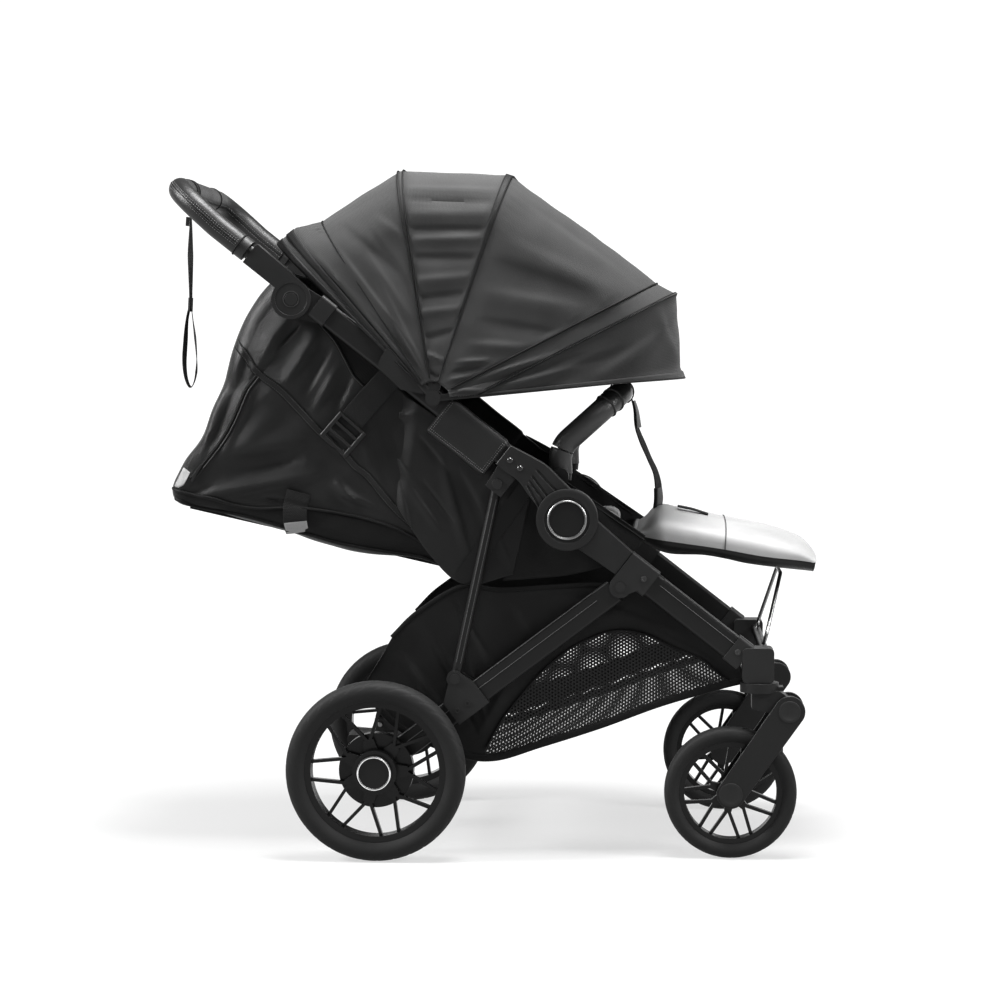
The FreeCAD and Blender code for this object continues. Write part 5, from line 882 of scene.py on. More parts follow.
BAG_OUTLINE = [
    (-330, 918), (-352, 898), (-383, 861), (-404, 822), (-424, 759), (-456, 665), (-497, 610), (-512, 574),
    (-503, 549), (-465, 539), (-401, 523), (-322, 500), (-259, 481), (-196, 469), (-132, 463), (-85, 450),
    (-46, 432),
]
BAG_SIDE = 199.5
BAG_CORNER = 34.0
BAG_FOLDS = [
    (-300, 872, -372, 770, 16, 6.0), (-304, 833, -352, 786, 9, -5.0), (-330, 812, -392, 742, 12, 4.5),
    (-262, 838, -330, 735, 12, 5.0), (-246, 812, -300, 715, 9, -4.5), (-232, 782, -284, 690, 9, 4.5),
    (-216, 770, -250, 690, 8, -4.0), (-392, 800, -410, 730, 12, 4.0), (-402, 742, -440, 640, 12, -5.0),
    (-420, 742, -462, 620, 10, 5.5), (-372, 740, -430, 618, 12, 4.0),
    (-290, 650, -455, 622, 20, 7.0), (-296, 622, -420, 596, 16, -8.0), (-262, 598, -470, 560, 11, 8.0),
    (-330, 700, -400, 640, 20, 4.0), (-380, 560, -300, 548, 6, -4.5), (-250, 590, -210, 545, 10, 6.0),
    (-262, 566, -150, 520, 12, -5.0), (-215, 602, -120, 520, 8, -4.0), (-242, 575, -130, 505, 14, 5.0),
    (-470, 600, -500, 566, 7, 4.0), (-440, 575, -486, 562, 5, -3.5),
    (-190, 690, -150, 560, 8, 4.5), (-172, 700, -118, 545, 7, -4.0), (-208, 660, -160, 545, 8, 4.0),
    (-150, 690, -86, 520, 9, 4.0),
]


def bag_anchor(t):
    """Where the shell's side hangs from the upper tube, for each share of the way round its outline."""
    along = np.interp(t, [0.0, 0.15, 0.40, 0.52, 0.72, 0.88, 1.0], [535, 505, 455, 400, 270, 160, 78])
    return UPPER.at(along, UPPER_OFF - UPPER_HALF - 4.0)


def bag_grid(rows=190, leg=64, corner=12, over=40):
    """The shell's lines: each leaves the tube, runs down one side, turns a corner, crosses and climbs."""
    outline = curve(BAG_OUTLINE, rows)
    t = np.linspace(0.0, 1.0, rows)
    foot = bag_anchor(t)
    tip = np.stack([outline[:, 0], np.zeros(rows), outline[:, 1]], axis=1)
    reach = np.linalg.norm(tip - foot, axis=1)
    round_off = np.minimum(BAG_CORNER, reach * 0.45)
    s = np.linspace(0.0, 1.0, leg)[None, :]
    a = np.linspace(0.0, math.pi / 2, corner)[None, 1:]
    w = np.linspace(1.0, 0.0, over // 2)[None, 1:]
    far = np.concatenate([s * (1 - round_off / reach)[:, None],
                          1 - (round_off / reach)[:, None] * (1 - np.sin(a)),
                          np.ones((rows, w.shape[1]))], axis=1)
    belly = 3.0 * np.sin(math.pi * s)
    side = np.concatenate([BAG_SIDE + belly * np.ones((rows, 1)),
                           BAG_SIDE - round_off[:, None] * (1 - np.cos(a)),
                           (BAG_SIDE - round_off)[:, None] * w], axis=1)
    sag = 6.0 * (1 - np.concatenate([np.ones_like(s), np.ones_like(a), w], axis=1) ** 2)
    half = foot[:, None, :] * (1 - far)[..., None] + tip[:, None, :] * far[..., None]
    inward = unit(foot - tip)[:, None, :] * sag[..., None]
    half = half + inward * np.array([1.0, 0.0, 1.0])
    half[..., 1] = -side
    return np.concatenate([half, mirror(half)[:, 1:]], axis=1)


def outward(points, centre):
    """Directions square to a grid that point away from a centre."""
    out = normals_of(points)
    return out * np.where((out * (points - centre)).sum(-1, keepdims=True) > 0, 1, -1)


def bag_surface():
    """The shell with its folds, held down near its edges and where the seat's sides cover it."""
    points = bag_grid()
    centre = np.array([-200.0, 0.0, 640.0])
    t = np.linspace(0.0, 1.0, len(points))[:, None]
    c = np.linspace(0.0, 1.0, points.shape[1])[None, :]
    fade = ease(np.minimum(t, 1 - t) * 14) * ease(np.minimum(c, 1 - c) * 16)
    clear = ease((-165.0 - points[..., 0]) / 40.0) * 0.85 + 0.15
    high = creases(points[..., 0], points[..., 2], BAG_FOLDS) + swell(points, 21, 70.0, 2.6)
    return points + outward(points, centre) * (high * fade * clear)[..., None]


def out_at(grid, flat, side):
    """How far out one side's cloth lies at places of the side view: a mean of its four nearest places."""
    cloth = grid.reshape(-1, 3)
    cloth = cloth[cloth[:, 1] * side > 150]
    gap = ((flat[:, None, :] - cloth[None, :, [0, 2]]) ** 2).sum(-1)
    best = np.argpartition(gap, 4, axis=1)[:, :4]
    weight = 1 / (np.take_along_axis(gap, best, 1) + 1.0)
    return (cloth[best][..., 1] * weight).sum(1) / weight.sum(1)


def on_side(grid, places, side, lift=0.0, count=160, smooth=True):
    """Lays a line drawn on the side view onto the cloth of that side, and lifts it off it."""
    line = side_line(places, 0.0, count, smooth)
    line[:, 1] = out_at(grid, line[:, [0, 2]], side) + side * lift
    return line


def cover(grid, top, low, side, lift, rows=10, columns=120):
    """A second layer on the cloth's side between two lines drawn on the side view."""
    points = between(side_line(top, 0.0, columns), side_line(low, 0.0, columns), rows)
    flat = points[..., [0, 2]].reshape(-1, 2)
    points[..., 1] = out_at(grid, flat, side).reshape(rows, columns) + side * lift
    return points


def strip(line, wide):
    """The two edges of a flat strip in the side view, half its width to each side of a line."""
    line = np.asarray(line, float)
    ahead = unit(np.gradient(line, axis=0))
    beside = np.stack([-ahead[:, 1], ahead[:, 0]], axis=1) * wide / 2
    return line + beside, line - beside


BAG_SEAM = [(-408, 803), (-388, 779), (-371, 755), (-336, 728), (-304, 695), (-273, 662), (-250, 642)]
BAG_SEAM_LOW = [(-238, 632), (-218, 609), (-198, 593), (-171, 560), (-147, 534), (-116, 508), (-86, 482)]
BAG_ZIP = [(-373, 750), (-387, 732), (-395, 716), (-411, 679), (-429, 648), (-451, 620), (-477, 590)]
BAG_NET_EDGE = [(-284, 846), (-268, 826), (-249, 804), (-233, 775), (-221, 752), (-205, 735)]
BAG_NET_TOP = [(-270, 868), (-246, 848), (-220, 828), (-196, 806), (-172, 785), (-150, 764)]
BAND_TOP = [(-510, 572), (-479, 564), (-447, 558), (-408, 547), (-372, 542), (-336, 543), (-305, 543),
            (-269, 539), (-226, 532), (-179, 520), (-147, 508), (-116, 492), (-86, 474)]
BAND_LOW = [(-505, 556), (-476, 545), (-447, 539), (-392, 529), (-337, 514), (-320, 507), (-289, 500),
            (-250, 489), (-210, 481), (-163, 474), (-140, 471), (-112, 466), (-86, 456)]
BAG_TAB = [(-306, 568), (-312, 545), (-312, 520), (-310, 504)]
BAG_TAB_END = [(-312, 521), (-311, 512), (-310, 503)]
BAG_ZIP_PULL = [(-462, 608), (-470, 596), (-476, 584)]
BAG_CORNER_TOP = [(-490, 606), (-485, 603), (-479, 598)]
BAG_CORNER_LOW = [(-507, 576), (-499, 574), (-489, 578)]


def build_bag():
    """The shell with its bound seams, zip, net window, stiff bottom band, pale corner and webbing tab."""
    points = bag_surface()
    shell = sheet_of("seat_shell_cloth", points, "bag_cloth", 1.6)
    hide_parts("seat_back_shell")
    area = area_of(points)
    parts = [shell]
    for name, side in SIDES.items():

        def layer(label, top, low, lift, material, thick, rows):
            over = cover(points, top, low, side, lift, rows)
            parts.append(sheet_of(f"shell_{label}_{name}", over, material, thick, flip=side < 0))

        def trim(label, line, size, material, end=""):
            title = f"shell_{label}_{name}{end}"
            parts.append(sweep(title, line, round_profile(*size), ACROSS, material))

        def thread_row(label, line, size, end=""):
            title = f"shell_{label}_{name}{end}"
            parts.append(stitches(title, line, (0, side, 0), *size, "dark_thread"))

        layer("net_window", BAG_NET_TOP, BAG_NET_EDGE, 1.0, "dark_net", 0.8, 14)
        layer("bottom_band", BAND_TOP, BAND_LOW, 1.8, "binding", 1.4, 12)
        layer("corner", BAG_CORNER_TOP, BAG_CORNER_LOW, 1.0, "pale_cloth", 0.8, 8)
        for label, places in (("upper", BAG_SEAM), ("lower", BAG_SEAM_LOW)):
            layer(f"seam_{label}", *strip(places, 10.0), 1.6, "bag_cloth", 1.4, 5)
            for n, off in enumerate((-7.2, 7.2)):
                line = on_side(points, strip(places, off)[0], side, 2.0)
                thread_row(f"stitches_{label}", line, (3.4, 2.2, 0.9), f"_{n}")
            for n, off in enumerate((-11.2, 11.2)):
                line = on_side(points, strip(places, off)[0], side, 0.6)
                trim(f"seam_edge_{label}", line, (1.4, 1.4, 6), "binding", f"_{n}")
        trim("net_edge", on_side(points, BAG_NET_EDGE, side, 1.0), (5.0, 3.0, 8), "bag_cloth")
        trim("zip", on_side(points, BAG_ZIP, side, 0.6), (2.4, 6.5, 10), "binding")
        trim("zip_lip", on_side(points, strip(BAG_ZIP, 9.0)[0], side, 1.2), (3.0, 2.6, 8), "bag_cloth")
        thread_row("zip_teeth", on_side(points, strip(BAG_ZIP, 1.0)[1], side, 1.6), (2.2, 1.1, 2.6))
        trim("zip_pull", on_side(points, BAG_ZIP_PULL, side, 3.0, 10), (2.0, 4.5, 8, 3.0), "plastic")
        for n, places in enumerate((BAND_TOP, BAND_LOW)):
            line = on_side(points, places, side, 2.6 - n)
            line[-1, 1] = line[-2, 1]
            trim("bottom_piping", line, (5.4 + n, 5.4 + n, 10), "binding", f"_{n}")
        trim("tab", on_side(points, BAG_TAB, side, 5.2, 24), (2.0, 38.0, 16, 6.0), "webbing")
        trim("tab_label", on_side(points, BAG_TAB_END, side, 6.6, 10), (1.0, 36.0, 16, 6.0), "pale_cloth")
    for part in parts:
        angle_blend(part)


# Straps

def strap(name, line, wide, thick=1.6, material="webbing", ref=ACROSS):
    """A flat strap with its width along ref."""
    return sweep(name, line, round_profile(wide, thick, 16, 6.0), ref, material)


def build_recline_straps():
    """Wide webbing from the upper tube to a ladder-lock buckle."""
    for side_name, side in SIDES.items():
        line = side_line([(-158, 751), (-175, 733), (-193, 713), (-215, 688), (-236, 660)], side * 211.0, 60)
        line[:, 1] += side * ease(np.linspace(0.0, 2.0, 60)) * 2.5
        made = [strap(f"recline_web_{side_name}", line, 40.0, 1.8, ref=(0.75, 0.0, -0.66))]
        centre = np.array([-235.0, side * 216.0, 659.0])
        run = unit(np.array([-0.66, 0.0, -0.75]))
        beside = np.array([-run[2], 0.0, run[0]])
        for off in (-22.0, -7.5, 7.5, 22.0):
            bar = np.stack([centre + run * off - beside * 24.0, centre + run * off + beside * 24.0])
            made.append(sweep(f"buckle_bar_{side_name}_{int(off * 2)}", spread(bar, 12),
                              round_profile(5.5, 5.0, 12, 3.0), ACROSS, "plastic"))
        for off in (-24.0, 24.0):
            rail = np.stack([centre - run * 24.0 + beside * off, centre + run * 24.0 + beside * off])
            made.append(sweep(f"buckle_rail_{side_name}_{int(off)}", spread(rail, 14),
                              round_profile(6.0, 6.5, 12, 3.0), ACROSS, "plastic"))
        whole = joined(f"recline_strap_{side_name}", made)
        angle_blend(whole)
        if side < 0:
            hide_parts("recline_straps")


def twisted(places, y, count, turns):
    """A smooth line, and the way of a strap's width at each place: a turn in degrees from across."""
    line = side_line(places, y, count)
    ahead = unit(np.gradient(line, axis=0))
    flat = np.stack([-ahead[:, 2], np.zeros(count), ahead[:, 0]], axis=1)
    share = np.linspace(0.0, 1.0, count)
    turn = np.radians(np.interp(share, np.linspace(0.0, 1.0, len(turns)), turns))[:, None]
    return line, np.cos(turn) * ACROSS + np.sin(turn) * flat


WRIST_SIDE = -118.0


def build_wrist_strap():
    """The hanging webbing strap with its loop, sewn join and tab."""
    grip = UPPER.at(*HANDLE_TOP, WRIST_SIDE)
    radius = 18.9
    t = np.linspace(math.radians(-80), math.radians(260), 40)
    ring = grip + np.stack([np.cos(t) * radius, np.zeros(40), np.sin(t) * radius], axis=1)
    top = (grip[0] + 4.0, grip[2] - 19.0)
    fall, fall_way = twisted([top, (-490, 1000), (-491, 950), (-491, 900), (-491, 858)], WRIST_SIDE, 60,
                             [0, 0, 22, 48, 30, 14, 8])
    loop, loop_way = twisted([(-491, 866), (-497, 840), (-500, 806), (-502, 770), (-499, 744), (-492, 731),
                              (-485, 744), (-482, 770), (-484, 806), (-488, 840), (-491, 866)],
                             WRIST_SIDE, 110, [8, 12, 30, 34, 24, 10, -6, 16, 26, 12, 8])
    made = [strap("wrist_collar", ring, 13.0, 1.4), strap("wrist_fall", fall, 10.0, 2.2, ref=fall_way),
            strap("wrist_loop", loop, 10.0, 1.3, ref=loop_way)]
    tab = side_line([(top[0] - 2, top[1] - 22.0), (top[0] - 3, top[1] - 36.0)], WRIST_SIDE, 8)
    made.append(strap("wrist_clip", tab, 13.0, 4.6, "plastic"))
    tab = side_line([(-491, 874), (-492, 852)], WRIST_SIDE, 8)
    made.append(strap("wrist_tab", tab, 11.5, 4.2, "leathercloth", ref=(0.25, 0.97, 0.0)))
    place(joined("wrist_strap_web", made), "handle", "cloth", ["wrist_strap"])


def build_crotch_strap():
    """Two plies of webbing from the bumper bar down to the seat's front, turned a little towards the side."""
    top = (BUMPER_PIVOT[0] + BUMPER_AHEAD, BUMPER_PIVOT[1] + BUMPER_RISE)
    t = np.linspace(math.radians(-60), math.radians(250), 40)
    ring = np.stack([top[0] + np.cos(t) * 20.0, np.zeros(40), top[1] + np.sin(t) * 20.0], axis=1)
    web, way = twisted([(213, 710), (217, 694), (222, 662), (240, 618), (253, 588), (257, 556), (252, 528),
                        (243, 512), (230, 506)], 0.0, 90, [0, 4, 10, 14, 12, 14, 20, 12, 6, 0])
    made = [strap("crotch_collar", ring, 30.0, 2.0), strap("crotch_web", web, 30.0, 2.4, ref=way)]
    flap, flap_way = twisted([(214, 708), (219, 690), (222, 664)], 0.0, 20, [4, 8, 12])
    made.append(strap("crotch_flap", flap + np.array([2.6, 0, 0]), 33.0, 2.2, "leathercloth", ref=flap_way))
    tip, tip_way = twisted([(256, 566), (257, 548), (255, 532)], 0.0, 16, [14, 18, 16])
    made.append(strap("crotch_keeper", tip, 34.0, 7.0, "plastic", ref=tip_way))
    whole = joined("crotch_strap_web", made)
    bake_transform(whole)
    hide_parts("crotch_strap")


# Handle grip

def handle_line(start, count=260):
    """The middle line of the handle's tube from one hinge over the top to the other."""
    places = [(start, UPPER_OFF), (712.0, UPPER_OFF), HANDLE_TOP]
    return rounded(both_sides([UPPER.at(*spot, TUBE_MIDDLE) for spot in places]),
                   [110.0, 58.0, 58.0, 110.0], count)


def build_grip():
    """The sewn sleeve on the handle with its end rings, cross seams and double rows of stitches."""
    line = handle_line(648.0)
    normal = np.array([UPPER.rise[0], 0.0, UPPER.rise[1]])
    made = sweep("handle_grip_cover", line, round_profile(36.6, 36.6, 32), normal, "leathercloth")
    place(made, "handle", "leathercloth", ["handle_grip"])
    ahead = unit(np.gradient(line, axis=0))
    first = unit(normal - (ahead @ normal)[:, None] * ahead)
    second = np.cross(ahead, first)
    for angle in (74.0, 84.0, 96.0, 106.0, 260.0, 280.0):
        a = math.radians(angle)
        out = first * math.cos(a) + second * math.sin(a)
        row = line + out * 18.35
        name = f"grip_stitches_{int(angle)}"
        place(stitches(name, row[6:-6], out[6:-6], 4.2, 3.0, 0.8), "handle", "leathercloth")
    for name, angle in (("outer", 90.0), ("inner", 270.0)):
        a = math.radians(angle)
        out = first * math.cos(a) + second * math.sin(a)
        seam = (line + out * 18.2)[4:-4]
        place(sweep(f"grip_seam_{name}", seam, round_profile(1.5, 1.5, 8), normal, "binding"), "handle",
              "leathercloth")
    for share in (0.02, 0.355, 0.645, 0.98):
        k = int(share * (len(line) - 1))
        ring = ring_band(circle(line[k], first[k], second[k], 18.4), line[k], ahead[k], 1.5)
        place(surface(f"grip_ring_{k}", ring, "binding", closed=True), "handle", "leathercloth")


def ring_band(ring, centre, axis, radius):
    """A thin round bead along a closed ring: a small circle carried round it."""
    out = unit(ring - centre)
    t = np.linspace(0, 2 * math.pi, 9)[None, :, None]
    return ring[:, None, :] + (out[:, None, :] * np.cos(t) + axis[None, None, :] * np.sin(t)) * radius


# Bumper bar

BUMPER_PLACES = [(0.0, 0.0), (-0.02, 0.34), (1.0, 1.0)]
BUMPER_AHEAD = 92.0
BUMPER_RISE = 128.0
BUMPER_SIDE = 178.0


def bumper_line(count=240):
    """The middle line of the bumper bar, from its left pivot up, over and down to the right one."""
    x, z = BUMPER_PIVOT
    left = [np.array([x + a * BUMPER_AHEAD, BUMPER_SIDE, z + b * BUMPER_RISE]) for a, b in BUMPER_PLACES]
    left[0] = left[0] + unit(left[1] - left[0]) * 3.0
    return rounded(both_sides(left), [44.0, 62.0, 62.0, 44.0], count)


def build_bumper():
    """The covered bar: a sewn sleeve with raised rings near each end, and the ends' plastic stems."""
    line = bumper_line()
    # The cover and its rings wear the paler leathercloth, a painted highlight.
    made = sweep("bumper_cover", line, round_profile(36.4, 36.4, 32), (0.35, 0.0, 0.94),
                 "bumper_leathercloth")
    parts = [made]
    ahead = unit(np.gradient(line, axis=0))
    for share in (0.215, 0.245, 0.755, 0.785):
        k = int(share * (len(line) - 1))
        side = unit(np.cross(ahead[k], [0.3, 0.2, 0.9]))
        ring = ring_band(circle(line[k], side, np.cross(ahead[k], side), 18.4), line[k], ahead[k], 1.9)
        parts.append(surface(f"bumper_ring_{k}", ring, "bumper_leathercloth", closed=True))
    whole = joined("bumper_cover", parts)
    place(whole, "bumper", "leathercloth", ["bumper_bar"])
    x, z = BUMPER_PIVOT
    for side_name, side in SIDES.items():
        stem = side_line([(x + 4, z - 6), (x + 5, z + 8), (x + 3, z + 30)], side * BUMPER_SIDE, 14)
        lug = [sweep(f"bumper_stem_{side_name}", stem, round_profile(21.0, 24.0, 20, 3.0), ACROSS, "plastic"),
               disc_piece(f"bumper_lug_{side_name}", BUMPER_PIVOT, 13.0, side * (BUMPER_SIDE - 5.8),
                          side * (BUMPER_SIDE + 5.8), "plastic")]
        place(joined(f"bumper_foot_{side_name}", lug), "bumper", "moulded_plastic")


def turned(name, centre, profile, material, count=64, side=1):
    """A shape turned about an axis across the pushchair: profile places are (radius, distance out)."""
    profile = np.asarray(profile, float) * (1, side)
    t = np.linspace(0, 2 * math.pi, count + 1)[:, None]
    grid = np.stack([centre[0] + profile[None, :, 0] * np.cos(t), np.broadcast_to(profile[None, :, 1],
                    (count + 1, len(profile))), centre[1] + profile[None, :, 0] * np.sin(t)], axis=-1)
    return surface(name, grid, material, closed=True)


def disc_piece(name, centre, radius, low, high, material, edge=1.0):
    """A disc with broken edges across the pushchair."""
    step = edge if high > low else -edge
    return turned(name, centre, [(0, low), (radius - edge, low), (radius, low + step), (radius, high - step),
                                 (radius - edge, high), (0, high)], material)


# Side wraps

WRAP_START = 145.0
WRAP_END = 257.0


def build_wraps():
    """Leathercloth sleeves round the upper tubes, sewn along their ends and lower edge."""
    top = UPPER_OFF + UPPER_HALF + 2.5
    depth = top + 30.0
    for side_name, side in SIDES.items():
        along = np.linspace(WRAP_START, WRAP_END, 60)
        line = UPPER.at(along, top - depth / 2, side * TUBE_MIDDLE)
        normal = np.array([UPPER.rise[0], 0.0, UPPER.rise[1]])
        middle = np.concatenate([line[:1], line, line[-1:]])[:, None, :]
        wave = 1 + 0.010 * np.sin(np.linspace(0, 3 * math.pi, 60))
        ends = ease(np.minimum(np.linspace(0, 1, 60), np.linspace(1, 0, 60)) * 22) * 0.06 + 0.94
        grid = sweep_grid(line, round_profile(depth, 25.4, 48, 5.0), normal)
        grid = middle + (grid - middle) * np.concatenate([[1.0], wave * ends, [1.0]])[:, None, None]
        made = surface(f"side_wrap_cover_{side_name}", grid, "leathercloth", closed=True)
        place(made, "upper_frame", "leathercloth", ["side_wraps"] if side < 0 else ())
        face = side * (TUBE_MIDDLE + 12.6)
        for inset in (3.2, 6.4):
            low, high = top - depth + inset + 1.5, top - inset - 1.5
            near, far = WRAP_START + inset, WRAP_END - inset
            rows = [[(near, low), (near, high)], [(far, low), (far, high)], [(near, low), (far, low)]]
            for n, (start, end) in enumerate(rows):
                row = spread(np.stack([UPPER.at(*start, face), UPPER.at(*end, face)]), 30)
                name = f"wrap_stitches_{side_name}_{int(inset * 10)}_{n}"
                place(stitches(name, row, (0, side, 0), 3.2, 2.2, 0.8), "upper_frame", "leathercloth")


# Seat sides and cushions

SEAT_SIDE_FOLDS = [
    (-167, 642, -114, 571, 8, 3.5), (-140, 589, -81, 504, 7, 3.5), (-114, 590, -60, 518, 6, -3.5),
    (-160, 689, -120, 690, 9, 3.0), (-154, 603, -128, 494, 7, 3.0), (-84, 627, -37, 463, 10, 3.5),
    (-60, 610, 0, 500, 12, -3.0), (-30, 560, 30, 450, 9, 3.0), (-120, 660, -70, 600, 7, -2.5),
]
SEAT_SIDE_REAR = ([(-145, 724), (-80, 680), (0, 616), (60, 572)],
                  [(-160, 560), (-100, 470), (-45, 424), (30, 440)])
SEAT_SIDE_AHEAD = ([(44, 580), (84, 604), (122, 579), (179, 540), (236, 501)],
                   [(14, 430), (66, 434), (120, 440), (180, 456), (226, 482)])


def patch(outline, y, rows=36, columns=36):
    """A sheet between a smooth top edge and a smooth bottom edge."""
    top, bottom = (side_line(edge, y, columns) for edge in outline)
    t = np.linspace(0.0, 1.0, rows)[:, None, None]
    return top[None] * (1 - t) + bottom[None] * t


def build_seat_sides():
    """The seat's cloth sides: behind the hub up to the tube, ahead of it up to a piped edge."""
    for side_name, side in SIDES.items():
        points = patch(SEAT_SIDE_REAR, side * 206.8, 90, 110)
        tuck = ease(1 - np.linspace(0.0, 1.0, 110) / 0.14)[None, :] * 9.0
        high = creases(points[..., 0], points[..., 2], SEAT_SIDE_FOLDS) + swell(points, 31, 60.0, 0.9)
        points[..., 1] += side * (high - 0.4 - tuck)
        panel = sheet_of(f"seat_side_cloth_{side_name}", points, "bag_cloth", 1.4, flip=side > 0)
        area_of(points)
        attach(panel, "upper_frame")
        if side < 0:
            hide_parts("seat_side_panels")
        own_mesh(panel)
        points = patch(SEAT_SIDE_AHEAD, side * 203.5)
        points[..., 1] += side * swell(points, 32, 50.0, 1.5)
        panel = sheet_of(f"seat_front_side_{side_name}", points, "basket_cloth", 1.4, flip=side > 0)
        area_of(points)
        place(panel, "front_frame", "cloth")
        for n, drop in enumerate((0.0, 7.0)):
            edge = side_line([(x, z - drop) for x, z in SEAT_SIDE_AHEAD[0][1:]], side * 204.5, 70)
            name = f"seat_side_piping_{side_name}_{n}"
            place(sweep(name, edge, round_profile(3.0, 3.0, 8), ACROSS, "binding"), "front_frame", "cloth")


def cushion_grid(line, length, low, high, half, crown, pinch=0.12, rows=72, columns=72):
    """A closed pad on a member: a round-cornered box, crowned on top, with sides that pull in."""
    u = np.linspace(0.0, 2 * math.pi, rows + 1)[:, None]
    v = np.linspace(0.0, math.pi, columns)[None, :]
    square = 0.42
    cu, su = np.cos(u), np.sin(u)
    cv, sv = np.cos(v), np.sin(v)
    a = np.sign(cv) * np.abs(cv) ** 0.30
    r = np.abs(sv) ** 0.30
    y = np.sign(cu) * np.abs(cu) ** square * r
    z = np.sign(su) * np.abs(su) ** (square + 0.35) * r
    pull = 1 - pinch * 0.5 * (1 - a**2) * np.abs(y)
    along = length / 2 + a * length / 2 * (1 - pinch * 0.4 * (1 - y**2))
    top = (high - low) / 2
    off = (low + high) / 2 + z * top + np.where(z > 0, crown * (1 - y**2) * (1 - a**2), 0.0)
    return line.at(along, off, y * half * pull)


def puff(piece, pressure, cap, voxel=5.0):
    """Fills a pad with air as cloth, holds how far it may swell and smooths it once."""
    even_mesh = piece.modifiers.new("even mesh", "REMESH")
    even_mesh.mode = "VOXEL"
    even_mesh.voxel_size = voxel * MM
    dg = bpy.context.evaluated_depsgraph_get()
    even = bpy.data.meshes.new_from_object(piece.evaluated_get(dg))
    piece.modifiers.clear()
    old = piece.data
    piece.data = even
    bpy.data.meshes.remove(old)
    start = np.zeros(len(even.vertices) * 3)
    even.vertices.foreach_get("co", start)
    soft = piece.modifiers.new("cloth", "CLOTH")
    soft.settings.quality = 5
    soft.settings.mass = 0.3
    soft.settings.tension_stiffness = 12
    soft.settings.compression_stiffness = 6
    soft.settings.bending_stiffness = 0.8
    soft.settings.use_pressure = True
    soft.settings.uniform_pressure_force = pressure
    soft.settings.effector_weights.gravity = 0.0
    scene = bpy.context.scene
    for step in range(1, 21):
        scene.frame_set(step)
    dg = bpy.context.evaluated_depsgraph_get()
    moved = np.zeros(len(even.vertices) * 3)
    piece.evaluated_get(dg).data.vertices.foreach_get("co", moved)
    piece.modifiers.clear()
    scene.frame_set(1)
    start, moved = start.reshape(-1, 3), moved.reshape(-1, 3)
    shift = moved - start
    far = np.linalg.norm(shift, axis=1, keepdims=True)
    shift = shift * np.minimum(1.0, cap * MM / np.maximum(far, 1e-9))
    even.vertices.foreach_set("co", (start + shift).ravel())
    even.polygons.foreach_set("use_smooth", np.ones(len(even.polygons), bool))
    even.update()
    finer = piece.modifiers.new("smooth", "SUBSURF")
    finer.levels = 1
    finer.render_levels = 1


def build_cushions():
    """The seat's and back's pads."""
    seat = Line((-12.0, 452.0), math.degrees(math.atan2(45.0, 234.0)))
    back = Line(BACK.at(28.0)[[0, 2]], BACK_ANGLE)
    pads = [
        ("seat_cushion", cushion_grid(seat, 222.0, 9.0, 36.0, 188.0, 6.0), "front_frame", "seat_pad", 0.5),
        ("back_cushion", cushion_grid(back, 420.0, 10.0, 31.0, 156.0, 5.0), "backrest", "backrest_pad", 0.5),
    ]
    for name, grid, body, node, fill in pads:
        pad = surface(name, grid, "pale_cloth", closed=True)
        puff(pad, 3.0, 5.0)
        place(pad, body, "cloth", [node])


LEG_TOP = [(224, 504), (236, 512), (257, 531), (294, 526), (368, 512), (437, 498), (488, 480), (507, 462)]
LEG_SEAM = [(222, 500), (240, 494), (294, 486), (357, 477), (419, 466), (480, 459), (505, 455)]
LEG_BOTTOM = [(224, 498), (236, 480), (272, 464), (327, 462), (364, 456), (396, 449), (450, 442),
              (502, 436.5)]
LEG_CROSS_SEAM = 360.0


def leg_grid(count=110, around=64):
    """The leg rest: at each place along it an oval section from the bottom line to the top line."""
    t = np.linspace(0.0, 1.0, count)
    top, seam, low = (curve(line, count) for line in (LEG_TOP, LEG_SEAM, LEG_BOTTOM))
    narrow = (1 - 0.06 * ease((t - 0.75) * 4)) * (1 - 0.02 * np.sin(math.pi * t))
    half = 150.0 * (0.90 + 0.10 * ease(t * 6)) * narrow
    a = np.linspace(-math.pi / 2, 3 * math.pi / 2, around + 1)[None, :]
    c, s = np.cos(a), np.sin(a)
    wide = np.sign(c) * np.abs(c) ** 0.42
    up = np.clip(np.sign(s) * np.abs(s) ** 0.62, -1, 1)
    rise = np.where(up[..., None] > 0, seam[:, None, :] + (top - seam)[:, None, :] * up[..., None],
                    seam[:, None, :] + (seam - low)[:, None, :] * up[..., None])
    crown = np.where(up > 0, 6.0 * up * (1 - wide**2), 0.0)
    grid = np.stack([rise[..., 0], half[:, None] * wide, rise[..., 1] + crown], axis=-1)
    ends = [np.repeat(grid[k].mean(0)[None, None], around + 1, axis=1) for k in (0, -1)]
    return np.concatenate([ends[0], grid, ends[1]], axis=0), up


